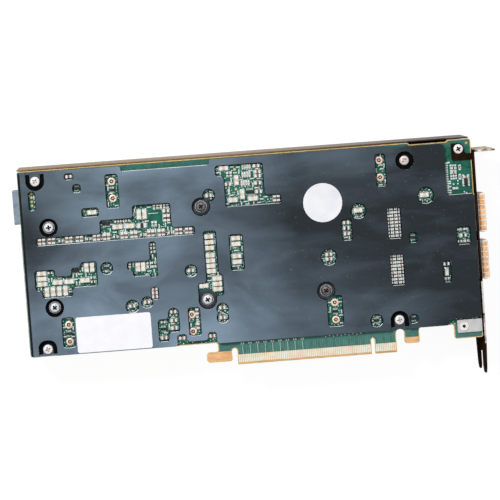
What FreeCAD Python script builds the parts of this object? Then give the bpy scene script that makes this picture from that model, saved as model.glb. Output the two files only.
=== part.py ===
import FreeCAD, Part
import math
import os

# An accelerator card for a two-slot expansion bay, lying on its shroud with the back of its board up.
# X runs along the board from its power end to its bracket, Y from the edge contacts to the top edge,
# and Z out of the back of the board. Zero is on the shroud's outer face, under the board's middle.
# All lengths are in millimetres.

V = FreeCAD.Vector

# Length of the flats that small rounds are drawn with, which keeps the solids light
FLAT = 2.0
LEAST_SIDES = 6
COINCIDENT = 1e-6
# How an offset outline turns at its corners
SHARP_JOIN = 2

# Board and the depths in front of it and behind it
BOARD_LENGTH = 241.3
BOARD_HEIGHT = 111.15
BOARD_THICKNESS = 1.57
BOARD_CORNER = 0.8
FRONT_DEPTH = 34.8
BACK_DEPTH = 2.67
LOWER_EDGE = 12.4
TOP_NOTCH_START = 33.1
TOP_NOTCH_END = 12.7
TOP_NOTCH_DEPTH = 1.0
BRACKET_FOOT_WIDTH = 15.3
BRACKET_FOOT_DROP = 4.7

# Edge contacts: two sections with a key notch between them, a retention hook and a spare tab
CONTACT_PITCH = 1.0
CONTACT_WIDTH = 0.7
CONTACT_START = 1.2
CONTACT_END = 5.3
CONTACT_THICKNESS = 0.06
BRACKET_CONTACT_COUNT = 11
POWER_CONTACT_COUNT = 71
SECTION_MARGIN = 0.65
KEY_FROM_BRACKET_END = 59.2
KEY_WIDTH = 1.9
KEY_DEPTH = 8.6
EDGE_BEVEL = 1.1
EDGE_BEVEL_DEPTH = 0.45
HOOK_GAP = 2.8
HOOK_GAP_DEPTH = 8.9
HOOK_LENGTH = 13.6
HOOK_NECK = 10.1
HOOK_LOW = 2.1
HOOK_HIGH = 7.5
HOOK_CORNER = 1.2
SPARE_TAB_GAP = 4.4
SPARE_TAB_WIDTH = 8.1
SPARE_TAB_LOW = 4.3

# Backplate: a formed sheet with a rim that stands on the board, and three feet inside U-shaped wells
PLATE_SHEET = 1.2
PLATE_RIM = 1.1
PLATE_CORNER = 1.0
PLATE_INSET = 0.4
PLATE_TOP_INSET = 0.75
PLATE_LOWER_EDGE = 12.5
PLATE_LIP = 1.1
PLATE_POCKETS = ((78.0, 83.3), (94.4, 99.2))
PLATE_POCKET_TOP = 18.8
PLATE_STEP_TOP = 14.7
PLATE_FOOT_WIDTH = 18.0
PLATE_FOOT_TOP = 15.9
PLATE_CUT_WIDTH = 14.7
PLATE_CUT_DROP = 29.25
PLATE_SHOULDER_WIDTH = 45.6
PLATE_SHOULDER_DROP = 1.65
PLATE_BAY_START = 54.7
PLATE_BAY_END = 101.7
PLATE_BAY_DROP = 3.75
WINDOW_CORNER = 1.0
WELL_GAP = 1.65
FOOT_MARGIN = 0.2
FOOT_GAP = 2.25
FOOT_SHEET = 1.0

# Screws, washers and what they are driven into
SHANK_RADIUS = 1.4
SCREW_CLEARANCE = 0.15
HEAD_OVERHANG = 1.1
HEAD_HEIGHT = 1.6
LOW_HEAD_HEIGHT = 0.6
WASHER_OVERHANG = 0.7
WASHER_THICKNESS = 0.5
POST_WALL = 0.55
SCREW_GRIP = 3.0
NUT_HEIGHT = 2.4
NUT_WALL = 1.2
COUNTERSINK_OVERHANG = 0.8

# Main chip under the heat sink, with the screws that clamp it
MAIN_CHIP_U = 127.3
MAIN_CHIP_V = 60.9
CLAMP_SPAN_X = 63.2
CLAMP_SPAN_Y = 49.7
SUBSTRATE_SIDE = 47.5
SUBSTRATE_THICKNESS = 1.8
LID_SIDE = 42.0
LID_CORNER = 1.5
LID_THICKNESS = 2.4
PASTE_SIDE = 38.0
PASTE_THICKNESS = 0.2
CHIP_CORNER = 0.5
END_SCREW_U = 14.6
END_SCREW_LOW = 38.05
END_SCREW_HIGH = 80.6
BACK_PAD_SIDE = 20.0
BACK_PAD_CORNER = 1.0

# Heat sink
SINK_START = 12.2
SINK_CAGE_GAP = 7.3
SINK_LOWER_EDGE = 15.6
SINK_TOP_INSET = 2.7
SINK_BASE = 4.0
FIN_PITCH = 3.1
FIN_THICKNESS = 0.8
FIN_TIP_GAP = 0.5

# Shroud: a folded channel over the front of the board, and the grille across its power end
SHROUD_SHEET = 0.8
SHROUD_BEND = 1.8
SHROUD_TOP_OVERHANG = 0.9
SHROUD_LOWER_EDGE = 12.2
SHROUD_BRACKET_GAP = 1.0
SHROUD_NOTCH_DEPTH = 3.0
SHROUD_FOOT_RELIEF = 4.0
GRILLE_SHEET = 1.0
GRILLE_OVERHANG = 0.5
GRILLE_TOP = 32.0
GRILLE_PITCH = 5.9
GRILLE_SLOT = 4.5
GRILLE_TICK = 0.8
GRILLE_TICK_DEPTH = 2.0
GRILLE_FRAME = 4.5
GRILLE_BOARD_GAP = 0.5

# Slot bracket
BRACKET_SHEET = 0.9
BRACKET_GAP = 0.5
BRACKET_RISE = 2.63
BRACKET_WIDTH = 38.7
BRACKET_CORNER = 1.0
FLANGE_DROP = 6.45
FLANGE_LENGTH = 11.6
FLANGE_CORNER = 3.0
SLOT_PITCH = 20.32
NOTCH_WIDTH = 4.4
NOTCH_LENGTH = 5.6
TONGUE_WIDTH = 10.2
TONGUE_TIP = 15.3
TONGUE_ROOT = 4.2
TONGUE_SHOULDER = 3.0
TONGUE_TAPER = 2.6
TAB_SHEET = 0.9
TAB_CORNER = 0.6
UPPER_TAB_SCREW = (-6.9, -5.15)
UPPER_TAB_MARGIN = 1.55
UPPER_TAB_SIDE = 3.7
UPPER_TAB_ARM_LOW = 6.1
UPPER_TAB_ARM_HIGH = 2.7
UPPER_TAB_FILLET = 1.2
LOWER_TAB_SCREW = (-10.0, 11.3)
LOWER_TAB_MARGIN = 1.95
VENT_MARGIN = 3.7
VENT_CAGE_GAP = 3.5
VENT_WIDTH = 3.4
VENT_PITCH = 5.3
VENT_START = 18.0
VENT_COUNT = 16

# Network cages, their spring collars and host connectors
CAGE_LOWER_V = 46.0
CAGE_SPACING = 25.2
CAGE_WIDTH = 19.5
CAGE_HEIGHT = 9.8
CAGE_WALL = 0.45
CAGE_LENGTH = 50.0
CAGE_REACH = 6.0
CAGE_WINDOW_GAP = 0.4
SPRING_THICKNESS = 0.3
SPRING_BAND = 0.9
SPRING_LENGTH = 3.4
SPRING_BOW = 0.5
SPRING_WIDTH = 2.35
SPRING_PITCH = 2.9
HOST_LENGTH = 9.0
HOST_SIDE_GAP = 1.0
HOST_FLOOR_GAP = 1.3
HOST_SLOT_HEIGHT = 1.6
HOST_SLOT_DEPTH = 6.0

# Power header
HEADER_TOP = 9.95
HEADER_WIDTH = 18.0
HEADER_REACH = 3.3
HEADER_LENGTH = 12.6
HEADER_HEIGHT = 10.8
HEADER_COLUMN_COUNT = 4
HEADER_ROW_COUNT = 2
HEADER_PITCH = 4.2
CELL_SIDE = 3.4
CELL_DEPTH = 10.0
PIN_SIDE = 1.0
PIN_LENGTH = 8.0

# Surface parts as length, width and height, plated rings as radius and bore, and test pads
LARGE = (4.6, 2.3, 1.8)
MEDIUM = (3.2, 1.7, 1.4)
SMALL = (2.0, 1.2, 0.9)
ARRAY = (5.0, 2.4, 0.9)
LITTLE_CHIP = (2.6, 2.3, 1.0)
WIDE_CHIP = (3.8, 2.8, 1.2)
OSCILLATOR = (5.0, 2.8, 1.3)
MEMORY = (14.0, 9.0, 1.2)
INDUCTOR = (7.0, 7.0, 3.8)
POWER_STAGE = (6.0, 5.0, 0.9)
BULK = (7.3, 4.3, 2.8)
MEMORY_CHIP_GAP = 3.0
MEMORY_GAP = 1.0
MEMORY_COUNT = 3
POWER_ROW_START = 50.9
POWER_ROW_PITCH = 8.4
POWER_PHASE_COUNT = 7
POWER_STAGE_ROW = -9.9
INDUCTOR_ROW = -0.9
BULK_ROW = 10.1
PAIR_GAP = 0.4
SMALL_PITCH = 1.8
RING_RADIUS = 2.05
RING_BORE = 1.0
TEST_PAD_RADIUS = 0.85

# Paper on the backplate
PAPER = 0.15
LABEL_START = 25.0
LABEL_LENGTH = 39.8
LABEL_LOW = 13.0
LABEL_HEIGHT = 19.0
LABEL_CORNER = 0.8
SEAL_SHIFT = (1.4, -2.75)
SEAL_RADIUS = 10.4

# Levels and edges that follow from the sizes above
BOARD_LEFT = -BOARD_LENGTH / 2
BOARD_RIGHT = BOARD_LENGTH / 2
CONTACT_LINE = -BOARD_HEIGHT / 2
BOARD_TOP = BOARD_HEIGHT / 2
BOARD_FRONT = FRONT_DEPTH
BOARD_BACK = FRONT_DEPTH + BOARD_THICKNESS
PLATE_FACE = BOARD_BACK + BACK_DEPTH
SHEET_UNDERSIDE = PLATE_FACE - PLATE_SHEET
SINK_FACE = BOARD_FRONT - SUBSTRATE_THICKNESS - LID_THICKNESS - PASTE_THICKNESS
SCREW_HOLE = SHANK_RADIUS + SCREW_CLEARANCE
HEAD_RADIUS = SHANK_RADIUS + HEAD_OVERHANG
WASHER_RADIUS = HEAD_RADIUS + WASHER_OVERHANG
POST_RADIUS = SCREW_HOLE + POST_WALL
NUT_RADIUS = SCREW_HOLE + NUT_WALL
COUNTERSINK_RADIUS = SHANK_RADIUS + COUNTERSINK_OVERHANG
WELL_RADIUS = WASHER_RADIUS + WELL_GAP
FOOT_HALF_WIDTH = HEAD_RADIUS + FOOT_MARGIN
FOOT_WELL_RADIUS = FOOT_HALF_WIDTH + FOOT_GAP
BRACKET_BACK = BOARD_BACK + BRACKET_RISE
BRACKET_FRONT = BRACKET_BACK - BRACKET_WIDTH
BRACKET_INSIDE = BOARD_RIGHT + BRACKET_GAP
BRACKET_OUTSIDE = BRACKET_INSIDE + BRACKET_SHEET
KEY_X = BOARD_RIGHT - KEY_FROM_BRACKET_END
FLANGE_TOP = BOARD_TOP - FLANGE_DROP
CAGE_FRONT = BOARD_RIGHT + CAGE_REACH
CAGE_BACK = CAGE_FRONT - CAGE_LENGTH
CAGE_FLOOR = BOARD_FRONT - CAGE_HEIGHT

# Points that positions are measured from: the power end, the bracket end or the main chip,
# with the contact line or the top edge, and the main chip's own centre
POWER_LOW = (BOARD_LEFT, CONTACT_LINE)
POWER_HIGH = (BOARD_LEFT, BOARD_TOP)
BRACKET_LOW = (BOARD_RIGHT, CONTACT_LINE)
BRACKET_HIGH = (BOARD_RIGHT, BOARD_TOP)
CHIP = (BOARD_LEFT + MAIN_CHIP_U, CONTACT_LINE + MAIN_CHIP_V)
CHIP_LOW = (CHIP[0], CONTACT_LINE)
CHIP_HIGH = (CHIP[0], BOARD_TOP)

# Screw positions as corner and offset
FOOT_SCREWS = [(POWER_HIGH, (9.3, -5.65)), (POWER_LOW, (9.3, 16.2)), (BRACKET_LOW, (-44.3, 17.4))]
CORNER_SCREW = (BRACKET_HIGH, (-36.0, -9.05))
RING_PAIRS = [
    (POWER_HIGH, (49.5, -8.65)), (POWER_HIGH, (49.5, -17.65)),
    (POWER_LOW, (21.1, 28.2)), (POWER_LOW, (21.1, 19.2)),
    (CHIP_LOW, (-40.6, 28.6)), (CHIP_LOW, (-40.6, 19.6)),
    (CHIP, (35.8, -31.7)), (CHIP, (35.8, -40.9)),
    (BRACKET_HIGH, (-49.4, -8.05)), (BRACKET_HIGH, (-49.4, -17.2)),
]
TEST_PADS = [
    (POWER_HIGH, (6.8, -11.95)), (POWER_HIGH, (6.8, -14.1)), (POWER_HIGH, (6.8, -16.25)),
    (POWER_HIGH, (6.8, -18.4)), (CHIP_HIGH, (-12.3, -7.2)), (CHIP_HIGH, (-12.3, -17.65)),
    (POWER_LOW, (33.9, 88.0)), (BRACKET_HIGH, (-2.3, -2.35)),
]


def spot(corner, offset):
    """Point on the board from a corner of it."""
    return corner[0] + offset[0], corner[1] + offset[1]


def clamp_spots():
    """The four screws round the main chip, then the two at the heat sink's power end."""
    around = [
        spot(CHIP, (side_x * CLAMP_SPAN_X / 2, side_y * CLAMP_SPAN_Y / 2))
        for side_x in (-1, 1) for side_y in (-1, 1)
    ]
    return around + [spot(POWER_LOW, (END_SCREW_U, v)) for v in (END_SCREW_LOW, END_SCREW_HIGH)]


def corner_spots():
    """The four fixings near the card's corners: three at the backplate's feet and one in a round well."""
    return [spot(*place) for place in FOOT_SCREWS + [CORNER_SCREW]]


def tab_spots():
    """The two screws of the bracket's tabs."""
    return [spot(BRACKET_HIGH, UPPER_TAB_SCREW), spot(BRACKET_LOW, LOWER_TAB_SCREW)]


def centred_row(count, pitch):
    """Offsets of evenly spaced things about their middle."""
    return [(n - (count - 1) / 2) * pitch for n in range(count)]


def rounded_wire(corners):
    """Closed wire through corners given as (point, radius), each round drawn as short flats."""
    points = []
    for index, (corner, radius) in enumerate(corners):
        before = corners[index - 1][0] - corner
        after = corners[(index + 1) % len(corners)][0] - corner
        half_turn = before.getAngle(after) / 2
        radius = min(radius, min(before.Length, after.Length) / 2 * math.tan(half_turn))
        if radius <= 0:
            points.append(corner)
            continue
        before.normalize()
        after.normalize()
        setback = radius / math.tan(half_turn)
        centre = corner + (before + after).normalize() * (radius / math.sin(half_turn))
        start = corner + before * setback - centre
        axis = start.cross(corner + after * setback - centre)
        turn = math.degrees(math.pi - 2 * half_turn)
        flats = max(1, math.ceil(math.radians(turn) * radius / FLAT))
        for step in range(flats + 1):
            points.append(centre + FreeCAD.Rotation(axis, turn * step / flats).multVec(start))
    apart = [p for n, p in enumerate(points) if (p - points[n - 1]).Length > COINCIDENT]
    return Part.makePolygon(apart + apart[:1])


def outline(points, z, radius=0.0):
    """Flat wire at height z through (x, y) or (x, y, radius) points."""
    return rounded_wire([(V(p[0], p[1], z), p[2] if len(p) > 2 else radius) for p in points])


def prism(points, bottom, top, radius=0.0):
    """Upright prism on an outline."""
    return Part.Face(outline(points, bottom, radius)).extrude(V(0, 0, top - bottom))


def rectangle(x0, y0, x1, y1):
    """Corner points of a rectangle."""
    return [(x0, y0), (x1, y0), (x1, y1), (x0, y1)]


def block(x0, y0, z0, x1, y1, z1):
    """Box between two opposite corners."""
    return Part.makeBox(x1 - x0, y1 - y0, z1 - z0, V(x0, y0, z0))


def round_points(place, radius, sides):
    """Corners of a regular polygon about (x, y)."""
    turns = [2 * math.pi * n / sides for n in range(sides)]
    return [(place[0] + radius * math.cos(a), place[1] + radius * math.sin(a)) for a in turns]


def round_sides(radius):
    """How many flats a full round of this radius has."""
    return max(LEAST_SIDES, math.ceil(2 * math.pi * radius / FLAT))


def bar(place, bottom, top, radius):
    """Upright round bar at (x, y), with its flats inside the radius."""
    return prism(round_points(place, radius, round_sides(radius)), bottom, top)


def hole(place, bottom, top, radius):
    """Cutter for an upright round hole at (x, y), with its flats outside the radius."""
    sides = round_sides(radius)
    return prism(round_points(place, radius / math.cos(math.pi / sides), sides), bottom, top)


def hexagon(place, bottom, top, radius):
    """Upright hexagon bar at (x, y), drilled for a screw."""
    body = prism(round_points(place, radius / math.cos(math.pi / 6), 6), bottom, top)
    return body.cut(hole(place, bottom, top, SCREW_HOLE))


def tube(place, bottom, top, radius, bore):
    """Upright tube at (x, y)."""
    return bar(place, bottom, top, radius).cut(hole(place, bottom, top, bore))


def surface_part(size, corner, offset, turned=False, front=False):
    """One part soldered to the board's back, or to its front, centred at an offset from a corner."""
    length, width, height = size
    if turned:
        length, width = width, length
    x, y = spot(corner, offset)
    bottom = BOARD_FRONT - height if front else BOARD_BACK
    return block(x - length / 2, y - width / 2, bottom, x + length / 2, y + width / 2, bottom + height)


def surface_row(size, corner, offsets, turned=False, front=False):
    """Surface parts of one size at each of several offsets."""
    return [surface_part(size, corner, offset, turned, front) for offset in offsets]


def board_outline():
    """The board's outline, from its lower corner at the power end towards the bracket."""
    lower = CONTACT_LINE + LOWER_EDGE
    power_end = KEY_X - KEY_WIDTH / 2 - POWER_CONTACT_COUNT * CONTACT_PITCH - SECTION_MARGIN
    bracket_end = KEY_X + KEY_WIDTH / 2 + BRACKET_CONTACT_COUNT * CONTACT_PITCH + SECTION_MARGIN
    hook_right = power_end - HOOK_GAP
    hook_left = hook_right - HOOK_LENGTH
    neck = power_end - HOOK_NECK
    tab_left = bracket_end + SPARE_TAB_GAP
    tab_right = tab_left + SPARE_TAB_WIDTH
    foot = BOARD_RIGHT - BRACKET_FOOT_WIDTH
    notch_left = BOARD_RIGHT - TOP_NOTCH_START
    notch_right = BOARD_RIGHT - TOP_NOTCH_END
    return [
        (BOARD_LEFT, lower),
        (neck, lower),
        (neck, CONTACT_LINE + HOOK_HIGH),
        (hook_left, CONTACT_LINE + HOOK_HIGH, HOOK_CORNER),
        (hook_left, CONTACT_LINE + HOOK_LOW, HOOK_CORNER),
        (hook_right, CONTACT_LINE + HOOK_LOW),
        (hook_right, CONTACT_LINE + HOOK_GAP_DEPTH, HOOK_GAP / 2),
        (power_end, CONTACT_LINE + HOOK_GAP_DEPTH, HOOK_GAP / 2),
        (power_end, CONTACT_LINE, 0),
        (KEY_X - KEY_WIDTH / 2, CONTACT_LINE, 0),
        (KEY_X - KEY_WIDTH / 2, CONTACT_LINE + KEY_DEPTH, KEY_WIDTH / 2),
        (KEY_X + KEY_WIDTH / 2, CONTACT_LINE + KEY_DEPTH, KEY_WIDTH / 2),
        (KEY_X + KEY_WIDTH / 2, CONTACT_LINE, 0),
        (bracket_end, CONTACT_LINE, 0),
        (bracket_end, lower, SPARE_TAB_GAP / 2),
        (tab_left, lower, SPARE_TAB_GAP / 2),
        (tab_left, CONTACT_LINE + SPARE_TAB_LOW),
        (tab_right, CONTACT_LINE + SPARE_TAB_LOW),
        (tab_right, lower),
        (foot, lower),
        (foot, CONTACT_LINE + BRACKET_FOOT_DROP),
        (BOARD_RIGHT, CONTACT_LINE + BRACKET_FOOT_DROP),
        (BOARD_RIGHT, BOARD_TOP),
        (notch_right, BOARD_TOP),
        (notch_right, BOARD_TOP - TOP_NOTCH_DEPTH),
        (notch_left, BOARD_TOP - TOP_NOTCH_DEPTH),
        (notch_left, BOARD_TOP),
        (BOARD_LEFT, BOARD_TOP),
    ]


def contact_bevel(face, inward):
    """Wedge that bevels one face of the board along the contact line."""
    corners = [
        V(BOARD_LEFT, CONTACT_LINE, face),
        V(BOARD_LEFT, CONTACT_LINE + EDGE_BEVEL, face),
        V(BOARD_LEFT, CONTACT_LINE, face + inward * EDGE_BEVEL_DEPTH),
    ]
    return Part.Face(Part.makePolygon(corners + corners[:1])).extrude(V(BOARD_LENGTH, 0, 0))


def board():
    """Circuit board with its contact tongue, screw holes and plated holes."""
    sheet = prism(board_outline(), BOARD_FRONT, BOARD_BACK, BOARD_CORNER)
    drills = [(place, SCREW_HOLE) for place in clamp_spots() + corner_spots() + tab_spots()]
    drills += [(spot(*place), RING_BORE) for place in RING_PAIRS]
    holes = [hole(place, BOARD_FRONT, BOARD_BACK, radius) for place, radius in drills]
    return [sheet.cut(holes + [contact_bevel(BOARD_FRONT, 1), contact_bevel(BOARD_BACK, -1)])]


def edge_contacts(bottom):
    """One face's contacts, either side of the key notch."""
    towards_power = KEY_X - KEY_WIDTH / 2 - SECTION_MARGIN / 2
    towards_bracket = KEY_X + KEY_WIDTH / 2 + SECTION_MARGIN / 2
    centres = [towards_power - CONTACT_PITCH * (n + 0.5) for n in range(POWER_CONTACT_COUNT)]
    centres += [towards_bracket + CONTACT_PITCH * (n + 0.5) for n in range(BRACKET_CONTACT_COUNT)]
    low = CONTACT_LINE + CONTACT_START
    high = CONTACT_LINE + CONTACT_END
    half = CONTACT_WIDTH / 2
    return [block(x - half, low, bottom, x + half, high, bottom + CONTACT_THICKNESS) for x in centres]


def plated_rings():
    """Copper rings round the plated holes, and the small test pads."""
    top = BOARD_BACK + CONTACT_THICKNESS
    rings = [tube(spot(*place), BOARD_BACK, top, RING_RADIUS, RING_BORE) for place in RING_PAIRS]
    return rings + [bar(spot(*place), BOARD_BACK, top, TEST_PAD_RADIUS) for place in TEST_PADS]


def backplate_outline():
    """The backplate's outline, from its lower corner at the power end towards the bracket."""
    left = BOARD_LEFT + PLATE_INSET
    right = BOARD_RIGHT - PLATE_INSET
    top = BOARD_TOP - PLATE_TOP_INSET
    low = CONTACT_LINE + PLATE_LOWER_EDGE
    pocket = CONTACT_LINE + PLATE_POCKET_TOP
    step = CONTACT_LINE + PLATE_STEP_TOP
    (first_left, first_right), (second_left, second_right) = PLATE_POCKETS
    foot_left = BOARD_RIGHT - PLATE_FOOT_WIDTH
    foot_top = CONTACT_LINE + PLATE_FOOT_TOP
    cut_left = BOARD_RIGHT - PLATE_CUT_WIDTH
    cut_low = BOARD_TOP - PLATE_CUT_DROP
    shoulder_left = BOARD_RIGHT - PLATE_SHOULDER_WIDTH
    shoulder = BOARD_TOP - PLATE_SHOULDER_DROP
    bay = BOARD_TOP - PLATE_BAY_DROP
    return [
        (left, low),
        (BOARD_LEFT + first_left, low),
        (BOARD_LEFT + first_left, pocket),
        (BOARD_LEFT + first_right, pocket),
        (BOARD_LEFT + first_right, step),
        (BOARD_LEFT + second_left, step),
        (BOARD_LEFT + second_left, pocket),
        (BOARD_LEFT + second_right, pocket),
        (BOARD_LEFT + second_right, low),
        (foot_left, low),
        (foot_left, foot_top),
        (right, foot_top),
        (right, cut_low),
        (cut_left, cut_low),
        (cut_left, shoulder),
        (shoulder_left, shoulder),
        (shoulder_left, top),
        (BOARD_LEFT + PLATE_BAY_END, top),
        (BOARD_LEFT + PLATE_BAY_END, bay),
        (BOARD_LEFT + PLATE_BAY_START, bay),
        (BOARD_LEFT + PLATE_BAY_START, top),
        (left, top),
    ]


def window(corner, points, radius=WINDOW_CORNER):
    """Cutter for a window whose corner points are offsets from a corner of the board."""
    return prism([spot(corner, p) + tuple(p[2:]) for p in points], BOARD_BACK, PLATE_FACE, radius)


def round_window(corner, offset, radius):
    """Cutter for a round window."""
    return hole(spot(corner, offset), BOARD_BACK, PLATE_FACE, radius)


def power_end_windows():
    """Windows over the parts between the power end and the main chip."""
    return [
        window(POWER_HIGH, rectangle(24.7, -6.15, 29.8, -2.55)),
        window(POWER_HIGH, rectangle(28.6, -13.35, 33.3, -8.45), 1.8),
        window(POWER_HIGH, rectangle(5.0, -20.95, 8.9, -10.75)),
        window(POWER_HIGH, rectangle(46.0, -22.85, 53.0, -4.55), 1.4),
        window(POWER_LOW, rectangle(17.5, 16.1, 24.3, 32.5), 1.6),
        window(POWER_LOW, rectangle(32.5, 84.6, 41.7, 89.6)),
        window(POWER_LOW, [
            (7.3, 71.3), (91.7, 71.3), (91.7, 76.0), (79.6, 76.0), (79.6, 89.2), (59.3, 89.2),
            (59.3, 82.6), (41.5, 82.6), (41.5, 75.6), (7.3, 75.6),
        ]),
        window(POWER_LOW, [
            (5.2, 47.5), (8.6, 47.5), (8.6, 43.4), (24.9, 43.4), (24.9, 48.0), (38.5, 48.0), (38.5, 61.2),
            (29.8, 61.2), (29.8, 58.6), (24.7, 58.6), (24.7, 54.5), (16.2, 54.5), (16.2, 58.4), (5.2, 58.4),
        ]),
        window(POWER_LOW, [
            (57.2, 51.3), (66.6, 51.3), (66.6, 50.3), (70.5, 50.3), (70.5, 69.3), (66.6, 69.3), (66.6, 59.5),
            (54.3, 59.5), (54.3, 55.0), (57.2, 55.0),
        ]),
        window(POWER_LOW, rectangle(65.8, 38.3, 70.2, 45.2)),
        round_window(POWER_LOW, (63.6, 37.2), 3.1),
        round_window(POWER_LOW, (55.6, 35.7), 3.5),
        round_window(POWER_LOW, (43.6, 56.9), 3.3),
    ]


def main_chip_windows():
    """Windows over the parts round the main chip."""
    return [
        window(CHIP_HIGH, [
            (-18.6, -26.7), (11.3, -26.7), (11.3, -21.65), (2.7, -21.65), (2.7, -4.35), (-22.9, -4.35),
            (-22.9, -10.15), (-18.6, -10.15),
        ]),
        window(CHIP, [
            (-36.3, -24.9), (-26.9, -24.9), (-26.9, -23.0), (-22.5, -23.0), (-22.5, -11.5), (-24.6, -11.5),
            (-24.6, 11.8), (-31.7, 11.8), (-31.7, -15.6), (-36.3, -15.6),
        ]),
        window(CHIP, rectangle(-18.2, -10.4, -10.6, 9.0)),
        window(CHIP, rectangle(31.4, -44.4, 40.0, -27.6), 1.6),
        window(CHIP_LOW, [
            (-59.0, 15.5), (-53.3, 15.5), (-53.3, 20.2), (-47.3, 20.2), (-47.3, 33.3, 3.0),
            (-53.3, 33.3, 3.0), (-53.3, 27.6), (-59.0, 27.6),
        ]),
        window(CHIP_LOW, rectangle(-42.7, 17.3, -36.0, 32.7), 1.3),
        round_window(CHIP, (-39.3, -8.7), 3.3),
        round_window(CHIP, (-27.0, 30.5), 3.3),
        round_window(CHIP, (-24.1, -30.2), 3.2),
        round_window(CHIP, (-24.3, -34.7), 3.2),
        round_window(CHIP, (34.3, -7.05), 4.4),
    ]


def bracket_end_windows():
    """Windows over the parts near the network cages."""
    return [
        window(BRACKET_HIGH, rectangle(-51.9, -21.95, -46.1, -4.45)),
        window(BRACKET_LOW, rectangle(-72.0, 61.9, -66.2, 73.6)),
        window(BRACKET_LOW, rectangle(-47.5, 60.9, -39.8, 77.7)),
        window(BRACKET_LOW, rectangle(-47.5, 35.9, -39.8, 52.7)),
        window(BRACKET_LOW, rectangle(-36.6, 58.0, -31.9, 63.8)),
        window(BRACKET_LOW, rectangle(-11.0, 55.0, -3.2, 64.8)),
        window(BRACKET_LOW, rectangle(-19.5, 35.6, -14.9, 47.3)),
        window(BRACKET_LOW, [(-39.0, 14.9), (-34.1, 14.9, 2.2), (-34.1, 20.1, 2.2), (-39.0, 20.1)]),
        round_window(BRACKET_LOW, (-62.4, 77.2), 4.2),
        round_window(BRACKET_LOW, (-26.0, 82.85), 4.5),
        round_window(BRACKET_LOW, (-56.6, 18.0), 3.4),
    ]


def screw_wells():
    """Round wells over the screws that don't hold the backplate."""
    return [
        hole(place, BOARD_BACK, PLATE_FACE, WELL_RADIUS)
        for place in clamp_spots() + [spot(*CORNER_SCREW)]
    ]


def foot_shape(place, half_width, bottom, top):
    """U-shaped prism round a foot's screw that runs to the backplate's edge, up or down."""
    x, y = place
    edge = BOARD_TOP - PLATE_TOP_INSET if y > 0 else CONTACT_LINE + PLATE_LOWER_EDGE
    end = y - math.copysign(half_width, y)
    points = [
        (x - half_width, end, half_width), (x + half_width, end, half_width),
        (x + half_width, edge, 0), (x - half_width, edge, 0),
    ]
    return prism(points, bottom, top)


def backplate():
    """Backplate with its rim, windows and wells, and the three feet that its screws hold down."""
    edge = outline(backplate_outline(), BOARD_BACK, PLATE_CORNER)
    inside = edge.makeOffset2D(-PLATE_RIM, SHARP_JOIN)
    plate = Part.Face(edge).extrude(V(0, 0, BACK_DEPTH))
    plate = plate.cut(Part.Face(inside).extrude(V(0, 0, BACK_DEPTH - PLATE_SHEET)))
    lip = [
        V(BOARD_LEFT, CONTACT_LINE, PLATE_FACE - PLATE_LIP),
        V(BOARD_LEFT, CONTACT_LINE, PLATE_FACE),
        V(BOARD_LEFT + PLATE_INSET + PLATE_LIP, CONTACT_LINE, PLATE_FACE),
    ]
    cutters = [Part.Face(Part.makePolygon(lip + lip[:1])).extrude(V(0, BOARD_HEIGHT, 0))]
    cutters += power_end_windows() + main_chip_windows() + bracket_end_windows() + screw_wells()
    feet = []
    for place in corner_spots()[:3]:
        well = foot_shape(place, FOOT_WELL_RADIUS, SHEET_UNDERSIDE, PLATE_FACE)
        cutters.append(well)
        foot = foot_shape(place, FOOT_HALF_WIDTH, BOARD_BACK, BOARD_BACK + FOOT_SHEET)
        feet.append(foot.cut(hole(place, BOARD_BACK, PLATE_FACE, SCREW_HOLE)))
    return [plate.cut(cutters).fuse(feet).removeSplitter()]


def backplate_pad():
    """Soft pad that fills the gap between the board and the backplate behind the main chip."""
    return [square_slab(BACK_PAD_SIDE, BOARD_BACK, SHEET_UNDERSIDE, BACK_PAD_CORNER)]


def screw(place, seat, head_height, depth):
    """Screw with its head above the seat and its shank reaching down to a depth."""
    head = bar(place, seat, seat + head_height, HEAD_RADIUS)
    return head.fuse(bar(place, depth, seat, SHANK_RADIUS)).removeSplitter()


def foot_screws():
    """Screws through the backplate's feet into the shroud's standoffs."""
    seat = BOARD_BACK + FOOT_SHEET
    return [screw(place, seat, HEAD_HEIGHT, BOARD_FRONT - SCREW_GRIP) for place in corner_spots()[:3]]


def well_spots():
    """Screws that bear on the board through a washer."""
    return clamp_spots() + [spot(*CORNER_SCREW)]


def well_screws():
    """Screws in the round wells, which draw the heat sink and the shroud's corner to the board."""
    seat = BOARD_BACK + WASHER_THICKNESS
    return [screw(place, seat, HEAD_HEIGHT, BOARD_FRONT - SCREW_GRIP) for place in well_spots()]


def washers():
    """Washers under the screws in the round wells."""
    top = BOARD_BACK + WASHER_THICKNESS
    return [tube(place, BOARD_BACK, top, WASHER_RADIUS, SCREW_HOLE) for place in well_spots()]


def heat_sink():
    """Heat sink: a base with straight fins along the air's way, drawn as one section."""
    low = CONTACT_LINE + SINK_LOWER_EDGE
    high = BOARD_TOP - SINK_TOP_INSET
    tip = SHROUD_SHEET + FIN_TIP_GAP
    root = SINK_FACE - SINK_BASE
    start = BOARD_LEFT + SINK_START
    fins = int((high - low - FIN_THICKNESS) / FIN_PITCH) + 1
    pitch = (high - low - FIN_THICKNESS) / (fins - 1)
    section = [(high, SINK_FACE), (low, SINK_FACE)]
    for n in range(fins):
        side = low + n * pitch
        section += [(side, root), (side, tip), (side + FIN_THICKNESS, tip), (side + FIN_THICKNESS, root)]
    corners = [V(start, y, z) for y, z in section if (y, z) not in ((low, root), (high, root))]
    face = Part.Face(Part.makePolygon(corners + corners[:1]))
    return [face.extrude(V(CAGE_BACK - SINK_CAGE_GAP - start, 0, 0)).removeSplitter()]


def sink_posts():
    """Hexagon posts on the heat sink's base that space it from the board."""
    return [hexagon(place, SINK_FACE, BOARD_FRONT, POST_RADIUS) for place in clamp_spots()]


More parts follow.
